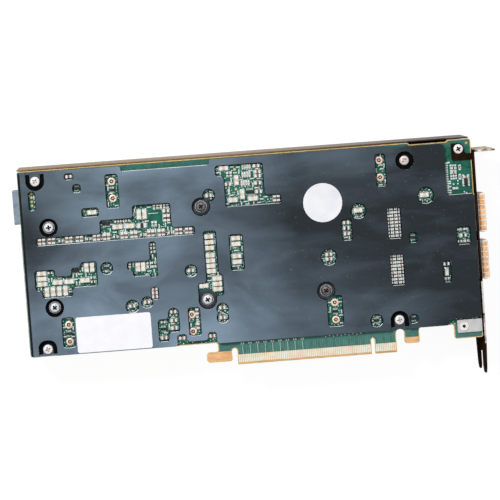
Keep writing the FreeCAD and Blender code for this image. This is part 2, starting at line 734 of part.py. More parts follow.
def standoffs():
    """Hexagon standoffs between the shroud's face and the board."""
    return [hexagon(place, SHROUD_SHEET, BOARD_FRONT, POST_RADIUS) for place in corner_spots()]


def square_slab(side, bottom, top, corner):
    """Square slab centred on the main chip."""
    half = side / 2
    x, y = CHIP
    return prism(rectangle(x - half, y - half, x + half, y + half), bottom, top, corner)


def main_chip():
    """Substrate, lid and thermal paste of the main chip, as three single solids."""
    lid_top = BOARD_FRONT - SUBSTRATE_THICKNESS
    paste_top = lid_top - LID_THICKNESS
    return (
        [square_slab(SUBSTRATE_SIDE, lid_top, BOARD_FRONT, CHIP_CORNER)],
        [square_slab(LID_SIDE, paste_top, lid_top, LID_CORNER)],
        [square_slab(PASTE_SIDE, SINK_FACE, paste_top, CHIP_CORNER)],
    )


def shroud_section():
    """The shroud's folded section across the card, as a wire at its power end."""
    x = BOARD_LEFT
    low = CONTACT_LINE + SHROUD_LOWER_EDGE
    high = BOARD_TOP + SHROUD_TOP_OVERHANG
    inner_bend = SHROUD_BEND - SHROUD_SHEET
    return rounded_wire([
        (V(x, low, BOARD_FRONT), 0),
        (V(x, low, 0), SHROUD_BEND),
        (V(x, high, 0), SHROUD_BEND),
        (V(x, high, BOARD_FRONT), 0),
        (V(x, high - SHROUD_SHEET, BOARD_FRONT), 0),
        (V(x, high - SHROUD_SHEET, SHROUD_SHEET), inner_bend),
        (V(x, low + SHROUD_SHEET, SHROUD_SHEET), inner_bend),
        (V(x, low + SHROUD_SHEET, BOARD_FRONT), 0),
    ])


def countersink(place, clearance):
    """Cone of a countersunk head, from the shroud's outer face to its inner face."""
    sides = round_sides(COUNTERSINK_RADIUS)
    outside = 1 if clearance == 0 else 1 / math.cos(math.pi / sides)
    wide = round_points(place, (COUNTERSINK_RADIUS + clearance) * outside, sides)
    narrow = round_points(place, (SHANK_RADIUS + clearance) * outside, sides)
    return Part.makeLoft([outline(wide, 0), outline(narrow, SHROUD_SHEET)], True, True)


def shroud():
    """Shroud with its countersunk holes and the gaps beside the board's notch and the bracket's nut."""
    length = BOARD_LENGTH - SHROUD_BRACKET_GAP
    channel = Part.Face(shroud_section()).extrude(V(length, 0, 0))
    top_gap = block(
        BOARD_RIGHT - TOP_NOTCH_START, 0, BOARD_FRONT - SHROUD_NOTCH_DEPTH,
        BOARD_RIGHT - TOP_NOTCH_END, BOARD_HEIGHT, BOARD_FRONT,
    )
    nut_gap = block(
        BOARD_RIGHT - BRACKET_FOOT_WIDTH, -BOARD_HEIGHT, BOARD_FRONT - SHROUD_FOOT_RELIEF,
        BOARD_RIGHT, 0, BOARD_FRONT,
    )
    sinks = [countersink(place, SCREW_CLEARANCE) for place in corner_spots()]
    return [channel.cut(sinks + [top_gap, nut_gap])]


def shroud_screws():
    """Countersunk screws through the shroud's face into its standoffs."""
    return [
        countersink(place, 0).fuse(bar(place, SHROUD_SHEET, SHROUD_SHEET + SCREW_GRIP, SHANK_RADIUS))
        for place in corner_spots()
    ]


def inlet_grille():
    """Grille across the shroud's power end, with tall slots and a notched edge beside the board."""
    outside = BOARD_LEFT - GRILLE_OVERHANG
    inside = outside + GRILLE_SHEET
    low = CONTACT_LINE + SHROUD_LOWER_EDGE + SHROUD_SHEET
    high = BOARD_TOP - GRILLE_TOP
    top = BOARD_FRONT - GRILLE_BOARD_GAP
    wire = rounded_wire([
        (V(outside, low, SHROUD_SHEET), SHROUD_BEND), (V(outside, high, SHROUD_SHEET), 0),
        (V(outside, high, top), 0), (V(outside, low, top), 0),
    ])
    sheet = Part.Face(wire).extrude(V(GRILLE_SHEET, 0, 0))
    slots = int((high - low - GRILLE_PITCH + GRILLE_SLOT) / GRILLE_PITCH)
    first = (low + high - (slots - 1) * GRILLE_PITCH) / 2
    cutters = []
    for n in range(slots):
        y = first + n * GRILLE_PITCH
        cutters.append(block(
            outside, y - GRILLE_SLOT / 2, SHROUD_SHEET + GRILLE_FRAME,
            inside, y + GRILLE_SLOT / 2, top - GRILLE_FRAME,
        ))
    for n in range(slots + 1):
        y = first + (n - 0.5) * GRILLE_PITCH
        cutters.append(block(
            outside, y - GRILLE_TICK / 2, top - GRILLE_TICK_DEPTH, inside, y + GRILLE_TICK / 2, top,
        ))
    return [sheet.cut(cutters)]


def bracket_face():
    """The bracket's upright sheet, drawn in below to a tongue for each slot."""
    shoulder = CONTACT_LINE + TONGUE_SHOULDER
    root = CONTACT_LINE - TONGUE_ROOT
    tip = CONTACT_LINE - TONGUE_TIP
    half = TONGUE_WIDTH / 2
    tongues = [
        [
            (tip + TONGUE_TAPER, z - half, 0), (tip, z - half + TONGUE_TAPER, 0),
            (tip, z + half - TONGUE_TAPER, 0), (tip + TONGUE_TAPER, z + half, 0),
        ]
        for z in slot_centres()
    ]
    front, back = slot_centres()
    corners = [(FLANGE_TOP, BRACKET_FRONT, 0), (shoulder, BRACKET_FRONT, BRACKET_CORNER)]
    corners += tongues[0] + [(root, front + half, 0), (root, back - half, 0)] + tongues[1]
    corners += [(shoulder, BRACKET_BACK, BRACKET_CORNER), (FLANGE_TOP, BRACKET_BACK, 0)]
    wire = rounded_wire([(V(BRACKET_INSIDE, y, z), radius) for y, z, radius in corners])
    return Part.Face(wire).extrude(V(BRACKET_SHEET, 0, 0))


def slot_centres():
    """Heights of the two slots' centre planes, the one away from the board first."""
    first = BRACKET_FRONT + (BRACKET_WIDTH - SLOT_PITCH) / 2
    return [first, first + SLOT_PITCH]


def bracket_flange():
    """The bracket's top flange, turned outwards, with an open notch for each slot's screw."""
    tip = BRACKET_OUTSIDE + FLANGE_LENGTH
    y = FLANGE_TOP - BRACKET_SHEET
    wire = rounded_wire([
        (V(BRACKET_INSIDE, y, BRACKET_FRONT), 0), (V(tip, y, BRACKET_FRONT), FLANGE_CORNER),
        (V(tip, y, BRACKET_BACK), FLANGE_CORNER), (V(BRACKET_INSIDE, y, BRACKET_BACK), 0),
    ])
    flange = Part.Face(wire).extrude(V(0, BRACKET_SHEET, 0))
    half = NOTCH_WIDTH / 2
    notches = []
    for z in slot_centres():
        sides = rounded_wire([
            (V(tip - NOTCH_LENGTH, y, z - half), half), (V(tip, y, z - half), 0),
            (V(tip, y, z + half), 0), (V(tip - NOTCH_LENGTH, y, z + half), half),
        ])
        notches.append(Part.Face(sides).extrude(V(0, BRACKET_SHEET, 0)))
    return flange.cut(notches)


def bracket_tabs():
    """The two tabs that lie on the board's back under the bracket's screws."""
    top = BOARD_BACK + TAB_SHEET
    (upper_x, upper_y), (lower_x, lower_y) = tab_spots()
    ear = SCREW_HOLE + UPPER_TAB_MARGIN
    arm_low = upper_y - UPPER_TAB_ARM_LOW
    arm_high = upper_y - UPPER_TAB_ARM_HIGH
    side = upper_x - UPPER_TAB_SIDE
    upper = [
        (BRACKET_INSIDE, arm_low, 0), (BRACKET_INSIDE, arm_high, 0),
        (upper_x + ear, arm_high, UPPER_TAB_FILLET),
        (upper_x + ear, upper_y + ear, ear), (side, upper_y + ear), (side, arm_low),
    ]
    half = SCREW_HOLE + LOWER_TAB_MARGIN
    lower = [
        (BRACKET_INSIDE, lower_y - half, 0), (BRACKET_INSIDE, lower_y + half, 0),
        (lower_x - half, lower_y + half), (lower_x - half, lower_y - half),
    ]
    holes = [hole(place, BOARD_BACK, top, SCREW_HOLE) for place in tab_spots()]
    return [prism(tab, BOARD_BACK, top, TAB_CORNER).cut(holes) for tab in (upper, lower)]


def cage_centres():
    """The lower and upper cage's middle lines."""
    lower = CONTACT_LINE + CAGE_LOWER_V
    return [lower, lower + CAGE_SPACING]


def slot_bracket():
    """Slot bracket with its flange, tongues, tabs, cage openings and vents."""
    cutters = []
    for y in cage_centres():
        half = CAGE_WIDTH / 2 + CAGE_WINDOW_GAP
        cutters.append(block(
            BRACKET_INSIDE, y - half, CAGE_FLOOR - CAGE_WINDOW_GAP,
            BRACKET_OUTSIDE, y + half, BOARD_FRONT + CAGE_WINDOW_GAP,
        ))
    for n in range(VENT_COUNT):
        y = CONTACT_LINE + VENT_START + n * VENT_PITCH
        cutters.append(block(
            BRACKET_INSIDE, y - VENT_WIDTH / 2, BRACKET_FRONT + VENT_MARGIN,
            BRACKET_OUTSIDE, y + VENT_WIDTH / 2, CAGE_FLOOR - VENT_CAGE_GAP,
        ))
    face = bracket_face().cut(cutters)
    return [face.fuse([bracket_flange()] + bracket_tabs()).removeSplitter()]


def tab_screws():
    """Screws of the bracket's tabs: a raised head above and a low one beside the contacts."""
    seat = BOARD_BACK + TAB_SHEET
    upper, lower = tab_spots()
    depth = BOARD_FRONT - NUT_HEIGHT
    return [screw(upper, seat, HEAD_HEIGHT, depth), screw(lower, seat, LOW_HEAD_HEIGHT, depth)]


def tab_nuts():
    """Hexagon nuts on the board's front under the bracket's screws."""
    return [hexagon(place, BOARD_FRONT - NUT_HEIGHT, BOARD_FRONT, NUT_RADIUS) for place in tab_spots()]


def network_cage(y):
    """Thin-walled cage on the board's front, open towards the bracket's outside."""
    half = CAGE_WIDTH / 2
    shell = block(CAGE_BACK, y - half, CAGE_FLOOR, CAGE_FRONT, y + half, BOARD_FRONT)
    hollow = block(
        CAGE_BACK + CAGE_WALL, y - half + CAGE_WALL, CAGE_FLOOR + CAGE_WALL,
        CAGE_FRONT, y + half - CAGE_WALL, BOARD_FRONT - CAGE_WALL,
    )
    return [shell.cut(hollow)]


def spring_finger(root, out, across):
    """One bowed spring that runs back along the cage from its root, standing out from the cage's wall."""
    along = V(-1, 0, 0)
    half = across * (SPRING_WIDTH / 2)
    rise = out * SPRING_BOW
    thick = out * SPRING_THICKNESS
    start = root - half
    profile = [
        start, start + along * (SPRING_LENGTH / 2) + rise, start + along * SPRING_LENGTH,
        start + along * SPRING_LENGTH + thick, start + along * (SPRING_LENGTH / 2) + rise + thick,
        start + thick,
    ]
    return Part.Face(Part.makePolygon(profile + profile[:1])).extrude(half * 2)


def spring_collar(y):
    """Sprung collar round a cage's mouth: a band with bowed fingers that reach back to the bracket."""
    half_y = CAGE_WIDTH / 2
    half_z = CAGE_HEIGHT / 2
    z = BOARD_FRONT - half_z
    band_back = CAGE_FRONT - SPRING_BAND
    outer = block(
        band_back, y - half_y - SPRING_THICKNESS, z - half_z - SPRING_THICKNESS,
        CAGE_FRONT, y + half_y + SPRING_THICKNESS, z + half_z + SPRING_THICKNESS,
    )
    band = outer.cut(block(band_back, y - half_y, z - half_z, CAGE_FRONT, y + half_y, z + half_z))
    fingers = []
    for side in (-1, 1):
        for shift in centred_row(int(CAGE_WIDTH / SPRING_PITCH), SPRING_PITCH):
            root = V(band_back, y + shift, z + side * half_z)
            fingers.append(spring_finger(root, V(0, 0, side), V(0, 1, 0)))
        for shift in centred_row(int(CAGE_HEIGHT / SPRING_PITCH), SPRING_PITCH):
            root = V(band_back, y + side * half_y, z + shift)
            fingers.append(spring_finger(root, V(0, side, 0), V(0, 0, 1)))
    return [band.fuse(fingers).removeSplitter()]


def host_connectors():
    """Card-edge connectors at the closed end of each cage."""
    connectors = []
    back = CAGE_BACK + CAGE_WALL
    half = CAGE_WIDTH / 2 - CAGE_WALL - HOST_SIDE_GAP
    top = BOARD_FRONT - CAGE_WALL
    bottom = CAGE_FLOOR + CAGE_WALL + HOST_FLOOR_GAP
    middle = (bottom + top) / 2
    for y in cage_centres():
        body = block(back, y - half, bottom, back + HOST_LENGTH, y + half, top)
        slot = block(
            back + HOST_LENGTH - HOST_SLOT_DEPTH, y - half + HOST_SIDE_GAP, middle - HOST_SLOT_HEIGHT / 2,
            back + HOST_LENGTH, y + half - HOST_SIDE_GAP, middle + HOST_SLOT_HEIGHT / 2,
        )
        connectors.append(body.cut(slot))
    return connectors


def header_cells():
    """Centres of the power header's cells across the card."""
    y = BOARD_TOP - HEADER_TOP - HEADER_WIDTH / 2
    z = BOARD_FRONT - HEADER_HEIGHT / 2
    return [
        (y + across, z + up)
        for across in centred_row(HEADER_COLUMN_COUNT, HEADER_PITCH)
        for up in centred_row(HEADER_ROW_COUNT, HEADER_PITCH)
    ]


def power_header():
    """Power header on the board's front, its cells open towards the power end."""
    mouth = BOARD_LEFT - HEADER_REACH
    high = BOARD_TOP - HEADER_TOP
    body = block(
        mouth, high - HEADER_WIDTH, BOARD_FRONT - HEADER_HEIGHT, mouth + HEADER_LENGTH, high, BOARD_FRONT,
    )
    half = CELL_SIDE / 2
    return [body.cut([
        block(mouth, y - half, z - half, mouth + CELL_DEPTH, y + half, z + half) for y, z in header_cells()
    ])]


def header_pins():
    """One square pin standing in each cell of the power header."""
    root = BOARD_LEFT - HEADER_REACH + CELL_DEPTH
    half = PIN_SIDE / 2
    return [block(root - PIN_LENGTH, y - half, z - half, root, y + half, z + half) for y, z in header_cells()]


def large_capacitors():
    """Large chip capacitors on the board's back."""
    return (
        surface_row(LARGE, POWER_LOW, [(38.2, 87.0), (51.0, 78.3), (57.3, 78.3)])
        + surface_row(LARGE, POWER_LOW, [(62.75, 83.9), (65.65, 83.9)], turned=True)
        + surface_row(LARGE, POWER_LOW, [(60.1, 56.2), (62.9, 56.2)], turned=True)
        + surface_row(LARGE, POWER_LOW, [(9.05, v) for v in (56.6, 53.7, 50.9)])
        + surface_row(LARGE, POWER_LOW, [(u, 51.3) for u in (17.1, 23.3, 31.7)])
        + surface_row(LARGE, POWER_LOW, [(u, 46.4) for u in (11.2, 14.4, 17.7, 21.0)], turned=True)
        + surface_row(LARGE, POWER_LOW, [(32.9, 58.0), (35.9, 58.0)], turned=True)
        + surface_row(LARGE, CHIP_HIGH, [(-18.1, -6.1), (-14.3, -23.3), (-3.6, -23.25)])
        + surface_row(LARGE, CHIP_HIGH, [(-11.7, -13.0), (-9.1, -20.65)], turned=True)
        + surface_row(LARGE, CHIP, [(-28.5, v) for v in (8.6, 5.6, 2.6, -1.4, -4.2, -7.0, -9.8)])
        + surface_row(LARGE, CHIP, [(-25.7, v) for v in (-14.0, -16.8, -19.6)])
        + surface_row(LARGE, CHIP, [(-33.2, -17.3)])
        + surface_row(LARGE, CHIP, [(-14.4, v) for v in (6.7, 3.6, -2.9, -5.9)])
        + surface_row(LARGE, BRACKET_LOW, [(-62.4, 77.4), (-26.6, 83.0)])
    )


def medium_capacitors():
    """Medium chip capacitors on the board's back."""
    pairs = [10.4, 15.6, 24.8, 30.4, 39.5, 44.8, 54.1, 59.3, 68.3, 73.8, 83.1, 88.4]
    apart = MEDIUM[1] + PAIR_GAP
    paired = [(u + shift, 73.45) for u in pairs for shift in centred_row(2, apart)]
    return (
        surface_row(MEDIUM, POWER_LOW, paired, turned=True)
        + surface_row(MEDIUM, POWER_HIGH, [(27.2, -4.4)])
        + surface_row(MEDIUM, POWER_LOW, [(77.15, 84.9), (63.5, 37.2), (55.6, 35.7)])
        + surface_row(MEDIUM, POWER_LOW, [(76.2, 81.0), (78.15, 81.0)], turned=True)
        + surface_row(MEDIUM, POWER_LOW, [(68.0, v) for v in (43.9, 41.8, 39.7)])
        + surface_row(MEDIUM, POWER_LOW, [(80.65, 16.6), (96.8, 16.6)])
        + surface_row(MEDIUM, CHIP_HIGH, [(-16.4, -14.7), (-0.7, -6.0), (-0.5, -15.2)])
        + surface_row(MEDIUM, CHIP_HIGH, [(-0.3, -9.3), (-0.3, -11.4), (-0.3, -19.8)])
        + surface_row(MEDIUM, CHIP_HIGH, [(7.8, -24.0), (9.8, -24.0)], turned=True)
        + surface_row(MEDIUM, CHIP, [(-27.0, 30.3), (-24.1, -29.7), (-24.3, -35.1), (-39.3, -8.7)])
        + surface_row(MEDIUM, CHIP, [(34.5, -5.7), (34.5, -8.2)])
        + surface_row(MEDIUM, CHIP_LOW, [(-37.7, 30.2), (-37.7, 22.4)], turned=True)
        + surface_row(MEDIUM, CHIP_LOW, [(-50.3, 31.0), (-50.3, 26.4), (-50.3, 22.2), (-56.1, 17.4)])
        + surface_row(MEDIUM, BRACKET_LOW, [(-69.2, 71.4), (-69.2, 65.4)])
    )


def small_capacitors():
    """Small chip capacitors on the board's back."""
    rows = [middle + shift for middle in (69.5, 44.5) for shift in centred_row(9, SMALL_PITCH)]
    return (
        surface_row(SMALL, BRACKET_LOW, [(u, v) for u in (-46.0, -43.6, -41.3) for v in rows])
        + surface_row(SMALL, BRACKET_LOW, [(-9.2, 63.2), (-5.6, 63.2), (-9.2, 56.7), (-5.6, 56.7)])
        + surface_row(SMALL, BRACKET_LOW, [(-17.3, 37.4)])
        + surface_row(SMALL, BRACKET_HIGH, [(-10.0, -15.2), (-10.0, -17.2), (-9.6, -26.0), (-3.6, -20.3)])
        + surface_row(SMALL, POWER_LOW, [(74.6 + n, 87.4) for n in centred_row(5, SMALL_PITCH)], turned=True)
        + surface_row(SMALL, POWER_LOW, [(50.8, 81.2), (53.6, 81.2), (56.4, 81.2)])
        + surface_row(SMALL, POWER_LOW, [(68.6, v) for v in (67.6, 65.6, 63.6, 57.8, 55.8)])
        + surface_row(SMALL, POWER_LOW, [(55.8, 57.3), (69.6, 78.4), (71.2, 78.4)], turned=True)
        + surface_row(SMALL, POWER_LOW, [(13.6, 56.6), (35.9, 52.4), (35.9, 50.2)])
        + surface_row(SMALL, CHIP_HIGH, [(-16.3, -9.6), (-14.5, -9.6), (-16.1, -19.0)], turned=True)
        + surface_row(SMALL, CHIP_LOW, [(-37.7, 26.4)], turned=True)
        + surface_row(SMALL, CHIP_LOW, [(-56.1, 25.9)])
    )


def chip_resistors():
    """Black chip resistors on the board's back."""
    return (
        surface_row(LARGE, POWER_LOW, [(63.9, 78.0)])
        + surface_row(MEDIUM, BRACKET_LOW, [(-69.2, 68.4), (-7.1, 59.9), (-17.2, 45.4)])
        + surface_row(SMALL, POWER_LOW, [(66.2, 57.8), (66.2, 55.8)])
        + surface_row(SMALL, POWER_LOW, [(u, 73.0) for u in (20.6, 35.3, 49.6, 63.9, 78.6)])
    )


def resistor_arrays():
    """Grey resistor arrays beside the main chip."""
    return surface_row(ARRAY, CHIP_HIGH, [(-6.1, -6.05), (-6.4, -10.4), (-7.2, -14.8)])


def little_chips():
    """Small integrated circuits on the board's back."""
    return (
        surface_row(LITTLE_CHIP, POWER_HIGH, [(30.9, -10.8), (49.5, -13.15)])
        + surface_row(LITTLE_CHIP, POWER_LOW, [(43.6, 56.9), (21.0, 23.7)])
        + surface_row(LITTLE_CHIP, CHIP_LOW, [(-56.1, 22.2)])
        + surface_row(LITTLE_CHIP, CHIP, [(35.8, -36.3)])
        + surface_row(LITTLE_CHIP, BRACKET_LOW, [(-34.2, 60.9), (-56.6, 18.0), (-36.6, 17.5)])
        + surface_row(WIDE_CHIP, POWER_LOW, [(45.0, 80.5), (26.9, 56.8)])
        + surface_row(WIDE_CHIP, CHIP_HIGH, [(-5.0, -19.6)])
        + surface_row(WIDE_CHIP, BRACKET_HIGH, [(-3.9, -22.9)], turned=True)
    )


def oscillator():
    """Metal can of the clock oscillator."""
    return surface_row(OSCILLATOR, BRACKET_LOW, [(-17.2, 41.2)], turned=True)


def memory_chips():
    """Memory chips on the board's front, either side of the main chip."""
    beside = (MEMORY[1] + SUBSTRATE_SIDE) / 2 + MEMORY_CHIP_GAP
    rows = centred_row(MEMORY_COUNT, MEMORY[0] + MEMORY_GAP)
    offsets = [(side * beside, row) for side in (-1, 1) for row in rows]
    return surface_row(MEMORY, CHIP, offsets, turned=True, front=True)


def power_row(size, row):
    """One row of power parts on the board's front, from the main chip towards the power end."""
    offsets = [(-POWER_ROW_START - POWER_ROW_PITCH * n, row) for n in range(POWER_PHASE_COUNT)]
    return surface_row(size, CHIP, offsets, front=True)


def label():
    """Bare rectangular label on the backplate."""
    x, y = spot(POWER_LOW, (LABEL_START, LABEL_LOW))
    face = rectangle(x, y, x + LABEL_LENGTH, y + LABEL_HEIGHT)
    return [prism(face, PLATE_FACE, PLATE_FACE + PAPER, LABEL_CORNER)]


def seal():
    """Bare round seal on the backplate, over one of the heat sink's screws."""
    covered = spot(CHIP, (CLAMP_SPAN_X / 2, CLAMP_SPAN_Y / 2))
    return [bar(spot(covered, SEAL_SHIFT), PLATE_FACE, PLATE_FACE + PAPER, SEAL_RADIUS)]


def build():
    """All sub-parts by name, each as a list of solids."""
    substrate, lid, paste = main_chip()
    lower_cage, upper_cage = cage_centres()
    return {
        "circuit_board": board(),
        "back_contacts": edge_contacts(BOARD_BACK),
        "front_contacts": edge_contacts(BOARD_FRONT - CONTACT_THICKNESS),
        "plated_rings": plated_rings(),
        "backplate": backplate(),
        "backplate_pad": backplate_pad(),
        "foot_screws": foot_screws(),
        "well_screws": well_screws(),
        "washers": washers(),
        "heat_sink": heat_sink(),
        "sink_posts": sink_posts(),
        "standoffs": standoffs(),
        "chip_substrate": substrate,
        "chip_lid": lid,
        "thermal_paste": paste,
        "memory_chips": memory_chips(),
        "power_inductors": power_row(INDUCTOR, INDUCTOR_ROW),
        "power_stages": power_row(POWER_STAGE, POWER_STAGE_ROW),
        "bulk_capacitors": power_row(BULK, BULK_ROW),
        "shroud": shroud(),
        "shroud_screws": shroud_screws(),
        "inlet_grille": inlet_grille(),
        "slot_bracket": slot_bracket(),
        "tab_screws": tab_screws(),
        "tab_nuts": tab_nuts(),
        "lower_cage": network_cage(lower_cage),
        "upper_cage": network_cage(upper_cage),
        "lower_collar": spring_collar(lower_cage),
        "upper_collar": spring_collar(upper_cage),
        "host_connectors": host_connectors(),
        "power_header": power_header(),
        "header_pins": header_pins(),
        "large_capacitors": large_capacitors(),
        "medium_capacitors": medium_capacitors(),
        "small_capacitors": small_capacitors(),
        "chip_resistors": chip_resistors(),
        "resistor_arrays": resistor_arrays(),
        "little_chips": little_chips(),
        "oscillator": oscillator(),
        "label": label(),
        "round_seal": seal(),
    }


os.makedirs("parts", exist_ok=True)
for name, solids in build().items():
    shape = solids[0] if len(solids) == 1 else Part.makeCompound(solids)
    shape.exportStep(os.path.join("parts", name + ".step"))
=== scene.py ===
import math
import random

import bmesh
import bpy
from mathutils import Matrix, Vector
from mathutils.bvhtree import BVHTree


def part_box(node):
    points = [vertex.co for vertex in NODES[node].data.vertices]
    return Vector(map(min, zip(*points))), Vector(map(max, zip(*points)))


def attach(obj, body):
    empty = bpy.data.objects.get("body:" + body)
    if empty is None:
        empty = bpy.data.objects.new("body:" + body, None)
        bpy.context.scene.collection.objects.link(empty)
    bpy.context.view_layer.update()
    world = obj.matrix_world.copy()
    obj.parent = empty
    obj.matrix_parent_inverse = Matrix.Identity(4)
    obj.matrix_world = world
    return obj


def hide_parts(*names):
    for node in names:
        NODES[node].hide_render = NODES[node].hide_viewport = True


# An accelerator card that lies on its shroud with the back of its board up.
# Lengths are written in millimetres times MM, which gives metres. Places on the board are u from its
# power end and v from its contact line, in millimetres.

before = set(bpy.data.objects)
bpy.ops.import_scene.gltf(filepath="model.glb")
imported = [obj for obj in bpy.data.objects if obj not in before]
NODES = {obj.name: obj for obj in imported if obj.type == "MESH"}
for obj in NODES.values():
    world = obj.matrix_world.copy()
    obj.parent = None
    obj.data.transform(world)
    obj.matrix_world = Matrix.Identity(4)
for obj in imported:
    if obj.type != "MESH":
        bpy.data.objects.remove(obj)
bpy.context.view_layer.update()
MM = 0.001

# Edges and levels read from the frame
BOARD_LOW, BOARD_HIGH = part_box("circuit_board")
BOARD_BACK = BOARD_HIGH.z
PLATE_LOW, PLATE_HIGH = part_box("backplate")
FACE = PLATE_HIGH.z
CONTACTS_LOW, CONTACTS_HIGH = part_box("back_contacts")
BRACKET_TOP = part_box("slot_bracket")[1].z
CAGE_LOW, CAGE_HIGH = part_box("lower_cage")
UPPER_CAGE_LOW, UPPER_CAGE_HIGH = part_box("upper_cage")

# Lines across the board: the plate's lower edge, the bay along the top, and the open corner by the bracket
PLATE_LOWER_EDGE = BOARD_LOW.y + 12.5 * MM
BAY_START = BOARD_LOW.y + 107.0 * MM
CORNER_START = PLATE_HIGH.x - 16 * MM
CORNER_LOWER_EDGE = BOARD_LOW.y + 82 * MM

# Photograph's camera
CAMERA_PLACE = Vector((-60.6, 114.56, 1424.2)) * MM
CAMERA_LOOK = Vector((0.0431, -0.0786, -0.9960))
CAMERA_UP = Vector((0.0761, 0.9943, -0.0752))
CAMERA_LENS = 188.8
SENSOR_WIDTH = 36.0

# Light: each lamp's place and size in metres and its power, and the plain light from all round
LAMPS = {"key": ((-0.45, 0.7, 1.2), 0.3, 15.9), "fill": ((0.8, -0.8, 1.0), 1.2, 3)}
LAMP_TARGET = Vector((0, 0, 0.03))
FILL_LIGHT = 0.34
FLOOR_GLOW = 0.92
FLOOR_HALF_WIDTH = 6.0

# Corners that are joined: those that a solid's faces share, and slivers that the plate's cutters leave
WELD = 0.002 * MM
SLIVER = 0.1 * MM

# Edges
PLATE_EASE = 0.45 * MM
CHIP_EASE = 0.1 * MM
SCREW_EASE = 0.05 * MM
SHARP_TURN = math.radians(35)
ROUND_SIDES = 48

# Thin layers
FILM_THICKNESS = 0.06 * MM
PRINT_THICKNESS = 0.03 * MM
PAD_THICKNESS = 0.05 * MM
RIM_WIDTH = 0.45 * MM

# Black lining under the plate, and the painted highlight strip on the lower side of its openings as a reach
# into the opening and a depth in millimetres
LINING_DEPTH = 1.24 * MM
LINING_WIDTH = 0.35 * MM
GLINT_SECTION = ((-0.1, 0.02), (0.04, 0.03), (0.25, 0.14), (0.25, 0.3), (-0.1, 0.3))

# Wells round the screws, with the rings of painted shade in them and how far the bands round the feet stop
# short of the plate's edge
FOOT_WELL = 5.2 * MM
FOOT_HALF_WIDTH = 2.7 * MM
WELL_RING_WIDTH = 2.0 * MM
RING_GAP = 0.05 * MM
SHADE_STOP = 1.2 * MM

# Rounds of the plate's openings: their radii, and the cross product of two sides that are as good as straight
LEAST_ROUND = 2.5 * MM
LARGEST_ROUND = 6 * MM
STRAIGHT = 2e-10

# Seeded spread of small things, and how often each is tried
SEED = 11
TINY_TRIES = 6000
VIA_TRIES = 24000
WINDOW_PADS = 16


def srgb(red, green, blue):
    """Linear colour of a screen colour given from 0 to 255."""
    parts = [part / 255 for part in (red, green, blue)]
    return (*[p / 12.92 if p <= 0.04045 else ((p + 0.055) / 1.055) ** 2.4 for p in parts], 1.0)


def on_board(u, v):
    """Point on the board's back."""
    return Vector((BOARD_LOW.x + u * MM, BOARD_LOW.y + v * MM, BOARD_BACK))


# Finishes

def joined_by(operation):
    """Method that joins two values by a sum or a comparison."""
    return lambda first, second: first.nodes.math(operation, first, second)


class Value:
    """Output of a node. Between two values, | takes the larger and & the smaller."""

    __add__ = joined_by("ADD")
    __sub__ = joined_by("SUBTRACT")
    __mul__ = joined_by("MULTIPLY")
    __lt__ = joined_by("LESS_THAN")
    __gt__ = joined_by("GREATER_THAN")
    __or__ = joined_by("MAXIMUM")
    __and__ = joined_by("MINIMUM")

    def __init__(self, nodes, socket):
        self.nodes = nodes
        self.socket = socket

    def __rsub__(self, other):
        return self.nodes.math("SUBTRACT", other, self)

    def __abs__(self):
        return self.nodes.math("ABSOLUTE", self)

    def spread(self, low, high, start=0.0, end=1.0):
        """The value's stretch from low to high made to run from start to end."""
        return self.nodes.add("ShaderNodeMapRange", "Result", {
            "Value": self, "From Min": low, "From Max": high, "To Min": start, "To Max": end,
        })


class Nodes:
    """Node tree with short calls for the nodes that the finishes and the surroundings share."""

    def __init__(self, tree):
        self.tree = tree

    def node(self, kind, inputs=None, **settings):
        """A node of a kind with its settings, and values or links on its inputs."""
        made = self.tree.nodes.new(kind)
        for name, value in settings.items():
            setattr(made, name, value)
        for name, value in (inputs or {}).items():
            self.give(made.inputs[name], value)
        return made

    def add(self, kind, output, inputs=None, **settings):
        """One output of a new node."""
        return Value(self, self.node(kind, inputs, **settings).outputs[output])

    def give(self, socket, value):
        """Links a socket to a node's output, or sets its value."""
        if isinstance(value, Value):
            self.tree.links.new(value.socket, socket)
        else:
            socket.default_value = value

    def math(self, operation, *values):
        """One sum on one or two values."""
        return self.add("ShaderNodeMath", 0, dict(enumerate(values)), operation=operation)

    def mix(self, factor, first, second):
        """Colour between two colours, each a node's output or a screen colour."""
        first, second = [part if isinstance(part, Value) else srgb(*part) for part in (first, second)]
        return self.add("ShaderNodeMix", 2, {0: factor, 6: first, 7: second}, data_type="RGBA")

    def seen(self):
        """1 where the camera looks, straight, in gloss or through glass, and 0 for other light."""
        rays = self.node("ShaderNodeLightPath").outputs
        camera, gloss, glass = [
            Value(self, rays[name]) for name in ("Is Camera Ray", "Is Glossy Ray", "Is Transmission Ray")
        ]
        return camera | gloss | glass


